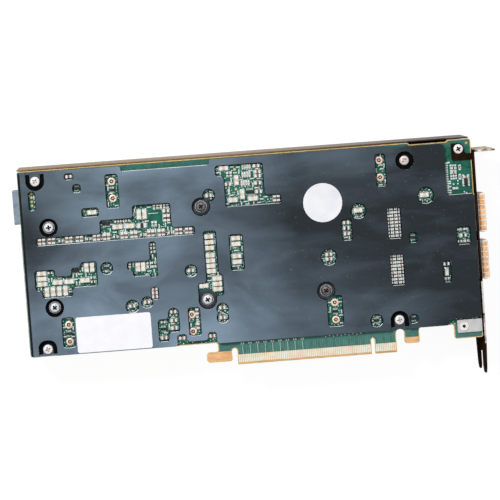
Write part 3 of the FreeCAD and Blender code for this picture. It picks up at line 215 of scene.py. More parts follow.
class Finish(Nodes):
    """Material with its shader, and textures by the size of their grain in millimetres."""

    def __init__(self, name, metallic=0.0, roughness=0.5, specular=0.25):
        self.material = bpy.data.materials.new(name)
        self.material.use_nodes = True
        super().__init__(self.material.node_tree)
        self.shader = self.tree.nodes["Principled BSDF"]
        self.shader.inputs["Specular IOR Level"].default_value = specular
        self.set(metallic=metallic, roughness=roughness)
        self.coordinates = self.add("ShaderNodeTexCoord", "Object")

    def set(self, **values):
        """Links or sets the shader's colour, roughness or metallic."""
        for name, value in values.items():
            self.give(self.shader.inputs[name.replace("_", " ").title()], value)

    def parts(self, vector):
        """The three parts of a vector."""
        return [Value(self, part) for part in self.node("ShaderNodeSeparateXYZ", {"Vector": vector}).outputs]

    def place(self):
        """Place on the object, as three parts."""
        return self.parts(self.coordinates)

    def facing(self):
        """The surface's own normal, as three parts."""
        return self.parts(self.add("ShaderNodeNewGeometry", "Normal"))

    def scaled(self, grain, stretch, turn=0.0):
        """Object coordinates with one unit for each grain, drawn out along some axes."""
        return self.add("ShaderNodeMapping", "Vector", {
            "Vector": self.coordinates, "Scale": [1 / (grain * MM * part) for part in stretch],
            "Rotation": (0, 0, math.radians(turn)),
        })

    def noise(self, grain, stretch=(1, 1, 1), detail=4.0, turn=0.0, swirl=0.0):
        """Cloudy value."""
        return self.add("ShaderNodeTexNoise", "Fac", {
            "Vector": self.scaled(grain, stretch, turn), "Scale": 1.0, "Detail": detail, "Distortion": swirl,
        })

    def cells(self, grain, stretch=(1, 1, 1)):
        """Distance from the edges in a pattern of cells."""
        inputs = {"Vector": self.scaled(grain, stretch), "Scale": 1.0}
        return self.add("ShaderNodeTexVoronoi", "Distance", inputs, feature="DISTANCE_TO_EDGE")

    def relief(self, height, depth):
        """Bumps of a depth in millimetres on the surface."""
        inputs = {"Height": height, "Distance": depth * MM, "Strength": 0.6}
        self.give(self.shader.inputs["Normal"], self.add("ShaderNodeBump", "Normal", inputs))


def drifting(name, dark, light, grain, rough, metallic=0.0, stretch=(1, 1, 1), depth=0.02, specular=0.25):
    """Finish whose colour and gloss drift between two ends, with a finer relief of the same grain."""
    finish = Finish(name, metallic=metallic, specular=specular)
    cloud = finish.noise(grain, stretch).spread(0.32, 0.68)
    finish.set(base_color=finish.mix(cloud, dark, light), roughness=cloud.spread(0, 1, *rough))
    finish.relief(finish.noise(grain / 5, stretch, 6.0), depth)
    return finish.material


def plate_finish():
    """Dark satin coat with a painted reflection that is paler towards the power end and fades towards the
    bracket, broken by cloudy wiped smudges, with worn edges and a black bent lip.
    """
    finish = Finish("plate_coat", specular=0.14)
    x, y, _ = finish.place()
    up = finish.facing()[2]
    haze = finish.noise(38, (1.5, 1.0, 1.0), 7.0, 35, 0.6).spread(0.38, 0.62)
    wipe = finish.noise(13, (3.0, 1.0, 1.0), 7.0, -35, 0.4).spread(0.42, 0.68)
    # Painted reflection of a soft light, set by place on the plate: paler towards the power end and the label
    # corner, darker towards the bracket
    power_half = x.spread(25 * MM, -40 * MM, 0.0, 0.62)
    bracket_half = x.spread(120 * MM, 0.0, 0.0, 0.12)
    power_end = x.spread(-75 * MM, -116 * MM, 0.0, 0.6)
    long_sides = abs(y - 18 * MM).spread(0.0, 50 * MM, -0.15, 0.22) * x.spread(100 * MM, 50 * MM)
    bracket_end = x.spread(60 * MM, 105 * MM, 0.0, 0.08)
    label_corner = x.spread(-30 * MM, -90 * MM) * y.spread(0.0, -35 * MM) * 0.2
    painted_sheen = power_half + bracket_half - power_end + long_sides - bracket_end + label_corner
    shade = painted_sheen * haze.spread(0, 1, 0.5, 1.2) + wipe * 0.14
    # The painted reflection runs the coat from near black to pale blue-grey
    coat = finish.mix(shade, (32, 38, 43), (126, 146, 163))
    dust = finish.noise(0.9, detail=1.0).spread(0.73, 0.78)
    coat = finish.mix(dust * 0.3, coat, (150, 158, 165))
    edge = up < 0.97
    lined = edge * (x < PLATE_LOW.x + 1.6 * MM) | (up < 0.3)
    bare = edge * (1.0 - lined)
    coat = finish.mix(bare, coat, (182, 187, 193))
    finish.set(base_color=finish.mix(lined, coat, (10, 11, 13)), metallic=bare)
    finish.set(roughness=haze.spread(0, 1, 0.38, 0.55))
    finish.relief(finish.noise(0.5, detail=6.0), 0.02)
    return finish.material


def board_finish():
    """Green mask over copper, with a painted sheen where it lies open below the plate and in the bay, and
    bare laminate on the edges and on the tongue's end, hook and tab.
    """
    finish = Finish("board_mask", specular=0.14)
    x, y, _ = finish.place()
    gaps = finish.cells(7).spread(0.02, 0.06)
    cloud = finish.noise(5).spread(0.35, 0.65)
    tracks = finish.cells(1.2, (3.0, 1.0, 1.0)).spread(0.03, 0.1)
    green = finish.mix(cloud, (8, 77, 59), (26, 101, 83))
    green = finish.mix(gaps, (6, 62, 48), green)
    green = finish.mix(tracks * 0.22, green, (70, 138, 126))
    # Painted sheen: the mask is paler below the plate's lower edge and in the bay
    open_board_sheen = (y < PLATE_LOWER_EDGE) * 0.4 + (y > BAY_START) * 0.22
    green = finish.mix(open_board_sheen, green, (104, 140, 138))
    beside = (x < CONTACTS_LOW.x - 1.5 * MM) + (x > CONTACTS_HIGH.x + 1.5 * MM)
    hook_and_tab = beside * (y < BOARD_LOW.y + 7.6 * MM)
    tongue = y < CONTACTS_HIGH.y + 0.1 * MM
    foot = x > BOARD_HIGH.x - 16 * MM
    bare = (hook_and_tab | tongue) * (1.0 - foot) | (abs(finish.facing()[2]) < 0.6)
    weave = finish.noise(1.5, (4.0, 1.0, 1.0)).spread(0.3, 0.7)
    laminate = finish.mix(weave, (214, 160, 108), (244, 196, 148))
    finish.set(base_color=finish.mix(bare, green, laminate), roughness=bare.spread(0, 1, 0.32, 0.6))
    finish.relief(gaps + tracks * 0.5, 0.03)
    return finish.material


def bracket_finish():
    """Plating in dark brown as painted shade and painted dark reflection, with a painted highlight on its
    upward rim that is patchy like worn plating, a bright lower tab and the mottled flange.
    """
    finish = Finish("bracket_plating", specular=0.0)
    x, y, z = finish.place()
    up = finish.facing()[2]
    cloud = finish.noise(7, (1.0, 2.0, 1.0)).spread(0.35, 0.65)
    # Painted shade and painted dark reflection: the plating is dark brown
    brown = finish.mix(cloud, (26, 16, 8), (52, 35, 24))
    # Painted highlight on the rim's upward face near its top, patchy like worn plating
    rim = (up > 0.8) * (z > BRACKET_TOP - 0.4 * MM) * (y < CAGE_LOW.y - 1.5 * MM)
    rim_highlight = rim * finish.noise(6).spread(0.4, 0.5)
    plating = finish.mix(rim_highlight, brown, (210, 202, 198))
    flange = x > BOARD_HIGH.x + 2.0 * MM
    mottle = finish.noise(2.2).spread(0.38, 0.6)
    beige = finish.mix(mottle, (124, 102, 78), (230, 219, 204))
    plating = finish.mix(flange, plating, beige)
    tab = (x < BOARD_HIGH.x - 0.2 * MM) * (y < 0.0)
    bright = finish.mix(finish.noise(3), (174, 175, 175), (210, 210, 209))
    finish.set(base_color=finish.mix(tab, plating, bright), metallic=(tab | flange) * 0.3)
    finish.set(roughness=cloud.spread(0, 1, 0.4, 0.6))
    finish.relief(finish.noise(0.8, (1.0, 8.0, 1.0), 6.0), 0.02)
    return finish.material


def shroud_finish():
    """Brushed bronze coat outside, deeper towards the bracket, and black painted shade on the inside."""
    finish = Finish("shroud_coat", metallic=0.1, specular=0.05)
    x, y, z = finish.place()
    _, across, up = finish.facing()
    cloud = finish.noise(22, (5.0, 1.0, 1.0)).spread(0.34, 0.66)
    brushed = finish.noise(0.9, (60.0, 1.0, 1.0), 3.0).spread(0.3, 0.7)
    streak = (cloud + brushed) * 0.5
    pale = finish.mix(streak, (112, 92, 68), (152, 128, 98))
    deep = finish.mix(streak, (50, 43, 38), (80, 67, 57))
    coat = finish.mix(x.spread(-30 * MM, 100 * MM), pale, deep)
    # Painted shade: faces that look into the shroud, and its low upward faces, are black
    inside = (y * across < -0.01) | (up > 0.5) * (z < 10 * MM)
    finish.set(base_color=finish.mix(inside, coat, (16, 15, 14)), roughness=cloud.spread(0, 1, 0.32, 0.46))
    finish.relief(finish.noise(0.7, (14.0, 1.0, 1.0), 6.0), 0.02)
    return finish.material


def cage_finish():
    """Bright plating outside the two cages, and dark grey painted shade on their insides."""
    finish = Finish("cage_plating", metallic=0.15)
    x, y, z = finish.place()
    along, across, up = finish.facing()
    cloud = finish.noise(5, (4.0, 1.0, 1.0)).spread(0.32, 0.68)
    plating = finish.mix(cloud, (214, 215, 214), (244, 244, 243))
    lower = (CAGE_LOW + CAGE_HIGH) / 2
    upper = (UPPER_CAGE_LOW + UPPER_CAGE_HIGH) / 2
    centre = (y > CAGE_HIGH.y + 2 * MM).spread(0, 1, lower.y, upper.y)
    inwards = (z - lower.z) * up & (y - centre) * across
    back_wall = (CAGE_HIGH.x - 5 * MM - x) * along
    # Painted shade: faces that look into a cage or towards its back wall are dark grey
    inside = (inwards < -0.5 * MM) | (back_wall > 0.5 * MM)
    finish.set(base_color=finish.mix(inside, plating, (38, 38, 40)), roughness=cloud.spread(0, 1, 0.25, 0.4))
    finish.relief(finish.noise(1.0, (4.0, 1.0, 1.0), 6.0), 0.02)
    return finish.material


FINISHES = {
    "board": board_finish(),
    "plate": plate_finish(),
    "bracket": bracket_finish(),
    "shroud": shroud_finish(),
    "cage": cage_finish(),
    "laminate": drifting("bare_laminate", (196, 160, 98), (234, 204, 142), 3, (0.5, 0.65)),
    "sleeve": drifting("film_grey", (34, 38, 42), (66, 72, 78), 3, (0.5, 0.7), specular=0.2),
    "film": drifting("film_black", (2, 2, 3), (7, 7, 8), 4, (0.6, 0.8), specular=0.06),
    # Bright metal of the painted highlight along the plate's openings
    "cut": drifting("edge_glint", (158, 164, 168), (216, 220, 222), 9, (0.35, 0.5), 0.15),
    "gold": drifting("contact_plating", (220, 221, 198), (232, 237, 228), 4, (0.35, 0.5), 0.15),
    "copper": drifting("ring_copper", (232, 186, 164), (252, 232, 220), 1.2, (0.35, 0.5), 0.15),
    "brown": drifting("bare_copper", (150, 96, 62), (206, 150, 108), 1.0, (0.4, 0.6), 0.2),
    "shade": drifting("shaded_copper", (44, 26, 20), (84, 54, 44), 0.8, (0.5, 0.7)),
    "flash": drifting("flash_gold", (176, 150, 96), (222, 200, 146), 0.8, (0.35, 0.5), 0.15),
    "bright": drifting("bright_screw", (226, 220, 218), (250, 247, 246), 1.2, (0.3, 0.5), 0.1),
    "rosy": drifting("rosy_screw", (206, 186, 180), (240, 228, 224), 1.2, (0.3, 0.5), 0.2),
    "steel": drifting("screw_steel", (196, 199, 205), (238, 240, 243), 1.2, (0.3, 0.5), 0.1),
    "oxide": drifting("oxide_screw", (62, 58, 58), (128, 124, 124), 1.6, (0.35, 0.55), 0.2),
    "washer": drifting("washer_steel", (160, 163, 168), (214, 216, 220), 1.2, (0.3, 0.5), 0.3),
    # Near black painted shade in the screws' cross recesses
    "recess": drifting("screw_recess_shade", (5, 5, 6), (16, 16, 17), 0.8, (0.6, 0.8)),
    "dull": drifting("dull_recess", (180, 172, 168), (212, 204, 200), 0.8, (0.5, 0.7), 0.1),
    "fins": drifting("fin_metal", (158, 160, 164), (198, 200, 204), 6, (0.3, 0.45), 0.9, (8, 1, 1)),
    "nickel": drifting("lid_plating", (170, 170, 168), (212, 212, 210), 4, (0.25, 0.4), 0.8),
    "tin": drifting("tinned_ends", (196, 200, 198), (244, 245, 242), 0.6, (0.3, 0.45), 0.1),
    "cream": drifting("ceramic_cream", (196, 176, 150), (238, 228, 204), 3.5, (0.45, 0.6)),
    "tan": drifting("ceramic_tan", (92, 62, 54), (164, 124, 110), 3.5, (0.45, 0.6)),
    "black": drifting("resin_black", (18, 19, 21), (42, 43, 46), 2, (0.35, 0.55)),
    "grey": drifting("resin_grey", (48, 56, 58), (96, 104, 106), 2, (0.4, 0.6)),
    "pale": drifting("ceramic_pale", (150, 152, 148), (206, 206, 200), 1.6, (0.45, 0.6)),
    "grille": drifting("grille_coat", (150, 154, 158), (188, 192, 196), 5, (0.4, 0.55), 0.3),
    "sleeve_metal": drifting("sleeve_plating", (232, 233, 232), (250, 250, 249), 2, (0.25, 0.4), 0.1),
    "spring": drifting("spring_metal", (222, 152, 92), (252, 208, 158), 2.5, (0.35, 0.5), 0.1),
    "plastic": drifting("header_resin", (112, 128, 144), (144, 159, 174), 3, (0.4, 0.55)),
    "paper": drifting("label_paper", (241, 241, 245), (247, 247, 250), 6, (0.6, 0.75), depth=0.002),
    "seal": drifting("seal_paper", (226, 227, 233), (241, 242, 245), 9, (0.5, 0.65), depth=0.002),
    "ink": drifting("legend_ink", (206, 216, 210), (238, 244, 240), 0.8, (0.5, 0.7)),
    "track": drifting("masked_track", (70, 134, 116), (112, 164, 150), 1.6, (0.3, 0.45)),
    "pad": drifting("soft_pad", (128, 130, 134), (160, 162, 166), 1.4, (0.75, 0.9), depth=0.05),
}


# Meshes

def add_loft(bm, rings, closed=False):
    """Adds a solid through rings of points, capped at both ends unless its last ring joins its first."""
    rows = [[bm.verts.new(point) for point in ring] for ring in rings]
    for first, second in zip(rows, rows[1:] + (rows[:1] if closed else [])):
        for n in range(len(first)):
            bm.faces.new((first[n - 1], first[n], second[n], second[n - 1]))
    if not closed:
        bm.faces.new(rows[0][::-1])
        bm.faces.new(rows[-1])


def add_block(bm, matrix, base, top):
    """Adds a block between two level rectangles, each given as x0, x1, y0, y1 and z."""
    add_loft(bm, [
        [matrix @ Vector(corner) for corner in ((x0, y0, z), (x1, y0, z), (x1, y1, z), (x0, y1, z))]
        for x0, x1, y0, y1, z in (base, top)
    ])


def add_box(bm, low, high, matrix=Matrix()):
    """Adds a box between two corners."""
    sides = (low[0], high[0], low[1], high[1])
    add_block(bm, matrix, (*sides, low[2]), (*sides, high[2]))


def add_outline(bm, points, bottom, top):
    """Adds an upright prism on an outline of (x, y) points."""
    add_loft(bm, [[(*point, level) for point in points] for level in (bottom, top)])


def add_turned(bm, centre, profile, sides=ROUND_SIDES):
    """Adds a solid turned about an upright line through centre, from (radius, height) pairs."""
    rings = []
    for radius, height in profile:
        turns = [2 * math.pi * n / sides for n in range(sides if radius > 0 else 1)]
        rings.append([
            bm.verts.new((centre[0] + radius * math.cos(a), centre[1] + radius * math.sin(a), height))
            for a in turns
        ])
    closed = profile[0][0] > 0
    for first, second in zip(rings, rings[1:] + (rings[:1] if closed else [])):
        for n in range(sides):
            after = (n + 1) % sides
            corners = [first[n % len(first)], second[n % len(second)]]
            corners += [second[after % len(second)], first[after % len(first)]]
            bm.faces.new(list(dict.fromkeys(corners)))


def add_disc(bm, centre, foot, crown, bottom, top, sides=ROUND_SIDES):
    """Adds a disc with one radius at its foot and one at its crown."""
    add_turned(bm, centre, [(0, top), (crown, top), (foot, bottom), (0, bottom)], sides)


def add_ring(bm, centre, inner, outer, bottom, top, sides=ROUND_SIDES):
    """Adds a flat ring."""
    add_turned(bm, centre, [(inner, bottom), (inner, top), (outer, top), (outer, bottom)], sides)


def arc_band(centre, inner, outer, turns):
    """Outline of a flat band that follows an arc."""
    spots = [(outer, turn) for turn in turns] + [(inner, turn) for turn in reversed(turns)]
    return [(centre.x + reach * math.cos(a), centre.y + reach * math.sin(a)) for reach, a in spots]


def soften(piece, width, segments=2, sharper=40):
    """Rounds a piece's edges that turn by more than an angle in degrees."""
    bevel = piece.modifiers.new("edges", "BEVEL")
    bevel.width = width
    bevel.segments = segments
    bevel.limit_method = "ANGLE"
    bevel.angle_limit = math.radians(sharper)


def join_corners(piece, distance):
    """Joins a piece's corners that lie closer than a distance."""
    weld = piece.modifiers.new("joined", "WELD")
    weld.merge_threshold = distance


def link_object(name, data):
    """New object of the scene."""
    made = bpy.data.objects.new(name, data)
    bpy.context.scene.collection.objects.link(made)
    return made


def add_object(name, bm, material):
    """Turns a mesh into an object of the scene."""
    bmesh.ops.recalc_face_normals(bm, faces=bm.faces)
    mesh = bpy.data.meshes.new(name)
    bm.to_mesh(mesh)
    bm.free()
    mesh.materials.append(material)
    return link_object(name, mesh)


def make_piece(name, bm, finish, replaces=(), edge=0.0):
    """Turns a mesh into a piece that rides with the card."""
    piece = add_object(name, bm, FINISHES[finish])
    piece.data.shade_smooth()
    piece.data.set_sharp_from_angle(angle=SHARP_TURN)
    if edge:
        soften(piece, edge)
    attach(piece, "root")
    if replaces:
        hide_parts(*replaces)
    return piece


def cut_by(piece, name, bm, finish):
    """Cuts a piece by a hidden cutter, whose own finish shows in the cut."""
    cutter = add_object(name, bm, FINISHES[finish])
    cutter.hide_render = True
    cut = piece.modifiers.new("cut", "BOOLEAN")
    cut.object = cutter
    cut.solver = "EXACT"
    cut.use_self = True
    cut.material_mode = "TRANSFER"


def welded(node):
    """A node's mesh with its split corners joined."""
    bm = bmesh.new()
    bm.from_mesh(NODES[node].data)
    bmesh.ops.remove_doubles(bm, verts=bm.verts, dist=WELD)
    return bm


def solids(node):
    """Lowest and highest corner of each separate solid of a node, in the order of their places."""
    bm = welded(node)
    boxes = []
    left = set(bm.verts)
    while left:
        reached = [left.pop()]
        for vert in reached:
            for edge in vert.link_edges:
                other = edge.other_vert(vert)
                if other in left:
                    left.discard(other)
                    reached.append(other)
        parts = list(zip(*[vert.co for vert in reached]))
        boxes.append((Vector(map(min, parts)), Vector(map(max, parts))))
    bm.free()
    return sorted(boxes, key=lambda box: tuple(box[0]))


def from_corner(node):
    """A node's solids, with the one nearest the bracket's upper corner last."""
    return sorted(solids(node), key=lambda box: box[0].x + box[0].y)


def middle(low, high):
    """Middle of a solid, seen from above."""
    return ((low + high) / 2).to_2d()


def centres(node):
    """Middle of each separate solid of a node."""
    return [middle(*box) for box in solids(node)]


# Backplate

def on_face(edge):
    """Whether an edge lies on the plate's face."""
    return all(abs(vert.co.z - FACE) < WELD for vert in edge.verts)


def rim_corners(bm):
    """Corners of the plate's upright edges on its face, each with the corners next to it."""
    ends = {}
    for edge in bm.edges:
        if on_face(edge) and any(abs(face.normal.z) < 0.5 for face in edge.link_faces):
            for vert in edge.verts:
                ends.setdefault(vert, []).append(edge.other_vert(vert))
    return ends


def plate_openings():
    """Closed outlines of the plate's openings on its face, each as a list of points in order."""
    bm = welded("backplate")
    ends = rim_corners(bm)
    seen, found = set(), []
    for start in ends:
        loop, at = [], start
        while at is not None and at not in seen and len(ends[at]) == 2:
            seen.add(at)
            loop.append(at)
            at = next((vert for vert in ends[at] if vert not in seen), None)
        if len(loop) > 2 and start in ends[loop[-1]]:
            found.append([vert.co.to_2d() for vert in loop])
    bm.free()
    return found


def moved_in(points, distance):
    """Closed outline moved towards its inside by a distance."""
    pairs = list(zip(points, points[1:] + points[:1]))
    turn = math.copysign(1.0, sum(a.x * b.y - b.x * a.y for a, b in pairs))
    sides = [Vector((a.y - b.y, b.x - a.x)).normalized() * turn for a, b in pairs]
    moved = []
    for n, point in enumerate(points):
        both = sides[n - 1] + sides[n]
        moved.append(point + both * (distance / max(0.5, 1.0 + sides[n - 1].dot(sides[n]))))
    return moved


def make_lining():
    """Black film under the plate that shows as a thin border inside each opening."""
    bm = bmesh.new()
    top = FACE - LINING_DEPTH
    bottom = top - FILM_THICKNESS
    for points in plate_openings():
        inner, outer = moved_in(points, LINING_WIDTH), moved_in(points, -LINING_WIDTH)
        section = ((inner, top), (outer, top), (outer, bottom), (inner, bottom))
        add_loft(bm, [[(*point, level) for point in ring] for ring, level in section], closed=True)
    make_piece("plate_lining", bm, "film")


def lower_rims():
    """Runs of the plate's face edges whose walls face up the board, as (point, way out) pairs in order."""
    bm = welded("backplate")
    bm.normal_update()
    after, ways = {}, {}
    wells = centres("washers") + centres("foot_screws")
    top_edge = PLATE_HIGH.y - 1.0 * MM
    for edge in bm.edges:
        walls = [face for face in edge.link_faces if face.normal.y > 0.75]
        left, right = sorted(edge.verts, key=lambda vert: vert.co.x)
        in_well = any((left.co.to_2d() - centre).length < 1.3 * FOOT_WELL for centre in wells)
        if walls and on_face(edge) and not in_well and left.co.y < top_edge:
            after[left] = right
            ways[left] = walls[0].normal.to_2d().normalized()
    runs = []
    for start in set(after) - set(after.values()):
        run, at, way = [], start, ways[start]
        while at in after:
            both = way + ways[at]
            run.append((at.co.to_2d(), both / (1.0 + way.dot(ways[at]))))
            way, at = ways[at], after[at]
        runs.append(run + [(at.co.to_2d(), way)])
    bm.free()
    return sorted(runs, key=lambda run: tuple(run[0][0]))


def make_edge_glints():
    """Painted highlight: a bright strip as the sheet's cut edge, only along the lower side of its openings,
    where light catches.
    """
    bm = bmesh.new()
    for run in lower_rims():
        add_loft(bm, [
            [(*(point + way * out * MM), FACE - depth * MM) for out, depth in GLINT_SECTION]
            for point, way in run
        ])
    make_piece("plate_edge_glints", bm, "cut")


def circle_through(a, b, c):
    """Circle through three points as (x, y, radius), or none where it isn't a small round."""
    ab, ac = b - a, c - a
    cross = ab.cross(ac)
    if abs(cross) < STRAIGHT:
        return None
    radius = ab.length * (c - b).length * ac.length / (2 * abs(cross))
    if not LEAST_ROUND < radius < LARGEST_ROUND:
        return None
    x = a.x + (ac.y * ab.length_squared - ab.y * ac.length_squared) / (2 * cross)
    y = a.y + (ab.x * ac.length_squared - ac.x * ab.length_squared) / (2 * cross)
    return x, y, radius


def plate_rounds():
    """Circles that the plate's round cut-outs follow, as (x, y, radius), found along its face's edges."""
    bm = welded("backplate")
    ends = rim_corners(bm)
    same, on_line, least = 0.5 * MM, 0.01 * MM, 5
    found = []
    for vert, others in ends.items():
        if len(others) != 2:
            continue
        circle = circle_through(*[corner.co.to_2d() for corner in (others[0], vert, others[1])])
        if circle is None or any((Vector(circle[:2]) - Vector(c[:2])).length < same for c in found):
            continue
        away = [(corner.co.to_2d() - Vector(circle[:2])).length for corner in ends]
        if sum(abs(distance - circle[2]) < on_line for distance in away) >= least:
            found.append(circle)
    bm.free()
    return found


def dress_backplate():
    """Backplate with soft edges and true round openings, which its solid draws with short flats."""
    piece = NODES["backplate"]
    piece.material_slots[0].material = FINISHES["plate"]
    join_corners(piece, WELD)
    bm = bmesh.new()
    for x, y, radius in plate_rounds():
        add_disc(bm, (x, y), radius, radius, FACE - 1.4 * MM, FACE + 1.0 * MM)
    cut_by(piece, "plate_cutters", bm, "plate")
    join_corners(piece, SLIVER)
    soften(piece, PLATE_EASE, sharper=60)


# Board parts

def chip_matrix(low, high):
    """Place of a chip, turned so that its length runs along X, with its length, width and height."""
    size = high - low
    turned = size.y > size.x
    turn = Matrix.Rotation(math.pi / 2 if turned else 0.0, 4, "Z")
    length, width = (size.y, size.x) if turned else (size.x, size.y)
    place = Vector(((low.x + high.x) / 2, (low.y + high.y) / 2, low.z))
    return Matrix.Translation(place) @ turn, length, width, size.z


def half_turns(matrix):
    """A chip's place, turned half round and as it is, for what it has on both sides."""
    return [matrix @ Matrix.Rotation(turn, 4, "Z") for turn in (math.pi, 0.0)]


def along_side(count, pitch):
    """Evenly spaced places about the middle of a chip's side."""
    return [(n - (count - 1) / 2) * pitch for n in range(count)]


def add_two_ended(bodies, ends, pads, low, high):
    """Adds a chip with a body between two tinned ends, each with its solder and pad."""
    matrix, length, width, height = chip_matrix(low, high)
    half, side = length / 2, width / 2
    cap = length * 0.33
    inset, out, pad = 0.05 * MM, 0.35 * MM, 0.04 * MM
    reach = half - cap * 0.8
    add_box(bodies, (-reach, inset - side, inset), (reach, side - inset, height - inset), matrix)
    for spin in half_turns(matrix):
        add_box(ends, (half - cap, -side, pad), (half, side, height), spin)
        foot = (half - inset, half + out, inset - side, side - inset, pad)
        add_block(pads, spin, foot, (half - inset, half + inset, inset - side, side - inset, height * 0.6))
        add_box(pads, (half - cap * 1.2, -side - inset, 0), (half + out * 1.5, side + inset, pad), spin)


def add_leaded(bodies, _, pads, low, high):
    """Adds an integrated circuit: a body with a row of bent leads along each long side."""
    matrix, length, width, height = chip_matrix(low, high)
    half, inner = length / 2, width / 2 - 0.5 * MM
    toe = width / 2 + 0.2 * MM
    pitch, lead, sheet, lift = 0.65 * MM, 0.3 * MM, 0.15 * MM, 0.1 * MM
    add_box(bodies, (-half, -inner, lift), (half, inner, height), matrix)
    for x in along_side(int((length - lead) / pitch) + 1, pitch):
        for spin in half_turns(matrix):
            near, far = x - lead / 2, x + lead / 2
            add_box(pads, (near, inner, lift), (far, inner + sheet, height * 0.55), spin)
            add_box(pads, (near, inner, 0), (far, toe, 0.12 * MM), spin)


def add_array(bodies, ends, pads, low, high):
    """Adds a resistor array: a flat body with four tinned notches along each long side."""
    matrix, length, width, height = chip_matrix(low, high)
    half, side = length / 2, width / 2
    count, inset = 4, 0.2 * MM
    pitch = length / count
    cap, pad = pitch * 0.3, pitch * 0.32
    add_box(bodies, (-half, inset - side, 0.05 * MM), (half, side - inset, height), matrix)
    for x in along_side(count, pitch):
        for spin in half_turns(matrix):
            add_box(ends, (x - cap, side - 0.7 * MM, 0), (x + cap, side, height + 0.02 * MM), spin)
            add_box(pads, (x - pad, side, 0), (x + pad, side + 0.4 * MM, PAD_THICKNESS), spin)


# Finish, slot and form of the chips in each node that has one kind only
CHIP_KINDS = {
    "large_capacitors": ("cream", "chip_tan", add_two_ended),
    "medium_capacitors": ("tan", "chip_tan", add_two_ended),
    "chip_resistors": ("black", "chip_black", add_two_ended),
    "little_chips": ("black", "chip_grey", add_leaded),
    "resistor_arrays": ("pale", "chip_grey", add_array),
}


def make_chips():
    """Detailed chips in place of the board's plain ones."""
    ends, pads = bmesh.new(), bmesh.new()
    mixed = {"tan": bmesh.new(), "black": bmesh.new(), "pale": bmesh.new()}
    draw = random.Random(SEED + 1)
    for box in solids("small_capacitors"):
        finish = draw.choices(("tan", "black", "pale"), (5, 3, 3))[0]
        add_two_ended(mixed[finish], ends, pads, *box)
    for finish, bodies in mixed.items():
        make_piece("small_chips_" + finish, bodies, finish, ["small_capacitors"], CHIP_EASE)
    for node, (finish, slot, add_chip) in CHIP_KINDS.items():
        bodies = bmesh.new()
        for box in solids(node):
            add_chip(bodies, ends, pads, *box)
        make_piece(node + "_bodies", bodies, finish, [node], CHIP_EASE)
    make_piece("chip_terminals", ends, "tin", edge=CHIP_EASE)
    make_piece("chip_solder", pads, "tin")


def make_oscillator():
    """Clock oscillator: a ceramic base, a rolled seam and a raised metal lid."""
    (low, high), = solids("oscillator")
    seam, roof = low.z + 0.5 * MM, low.z + 0.75 * MM
    margin = Vector((0.25, 0.25, 0)) * MM
    base, lid = bmesh.new(), bmesh.new()
    add_box(base, low, (high.x, high.y, seam))
    for step, (bottom, top) in enumerate(((seam, roof), (roof, high.z)), 1):
        inner_low, inner_high = low + margin * step, high - margin * step
        add_box(lid, (inner_low.x, inner_low.y, bottom), (inner_high.x, inner_high.y, top))
    make_piece("oscillator_base", base, "black", edge=CHIP_EASE)
    make_piece("oscillator_lid", lid, "nickel", ["oscillator"], 0.12 * MM)


# Screws, washers and rings

def pan_profile(radius, shank, seat, top, bottom):
    """Pan-headed screw's section, from its axis at the top to its axis at the shank's end."""
    rim = seat + (top - seat) * 0.45
    turns = [math.pi / 2 * n / 6 for n in range(2, 7)]
    crown = [(radius * math.sin(a), rim + (top - rim) * math.cos(a)) for a in turns]
    flat = [(0, top), (radius * 0.38, top)]
    return flat + crown + [(radius, seat), (shank, seat), (shank, bottom), (0, bottom)]


def flat_profile(radius, shank, seat, top, bottom):
    """Low screw's section, with a turned groove round its flat head."""
    groove = top - (top - seat) * 0.4
    face = ((0, top), (0.6, top), (0.64, groove), (0.74, groove), (0.78, top), (0.96, top), (1, seat))
    head = [(radius * share, height) for share, height in face]
    return head + [(shank, seat), (shank, bottom), (0, bottom)]


def add_cross(bm, centre, reach, width, bottom, top, turn):
    """Adds a cutter in the form of a cross recess."""
    arm = [(reach, -width), (reach, width), (width, width)]
    spins = [Matrix.Rotation(n * math.pi / 2 + turn, 2) for n in range(4)]
    add_outline(bm, [tuple(centre + spin @ Vector(p)) for spin in spins for p in arm], bottom, top)


def screw_levels(node, low, high):
    """A screw's middle, head radius, shank radius and seat height, read from its solid."""
    centre = middle(low, high)
    spans = [((vert.co.to_2d() - centre).length, vert.co.z) for vert in NODES[node].data.vertices]
    spans = [(span, z) for span, z in spans if span < high.x - low.x]
    radius = max(span for span, _ in spans)
    seat = min(z for span, z in spans if span > radius * 0.95)
    shank = max(span for span, z in spans if z < seat - WELD)
    return centre, radius, shank, seat


def make_screws(name, node, boxes, finish, recess, turns):
    """Round-headed screws with a recess of its own finish in place of some of a node's plain ones."""
    heads, recesses = bmesh.new(), bmesh.new()
    for (low, high), turn in zip(boxes, turns):
        centre, radius, shank, seat = screw_levels(node, low, high)
        raised = high.z - seat > 1.0 * MM
        section, reach, width = (pan_profile, 0.55, 0.18) if raised else (flat_profile, 0.34, 0.2)
        add_turned(heads, centre, section(radius, shank, seat, high.z, low.z))
        floor, top = seat + (high.z - seat) * 0.35, high.z + 0.5 * MM
        add_cross(recesses, centre, radius * reach, radius * width, floor, top, math.radians(turn))
    piece = make_piece(name, heads, finish, [node])
    # The recess finish is near black painted shade on the well, oxide and tab screws, and pale on the foot
    # and corner screws
    cut_by(piece, name + "_recess", recesses, recess)
    soften(piece, SCREW_EASE, 1)


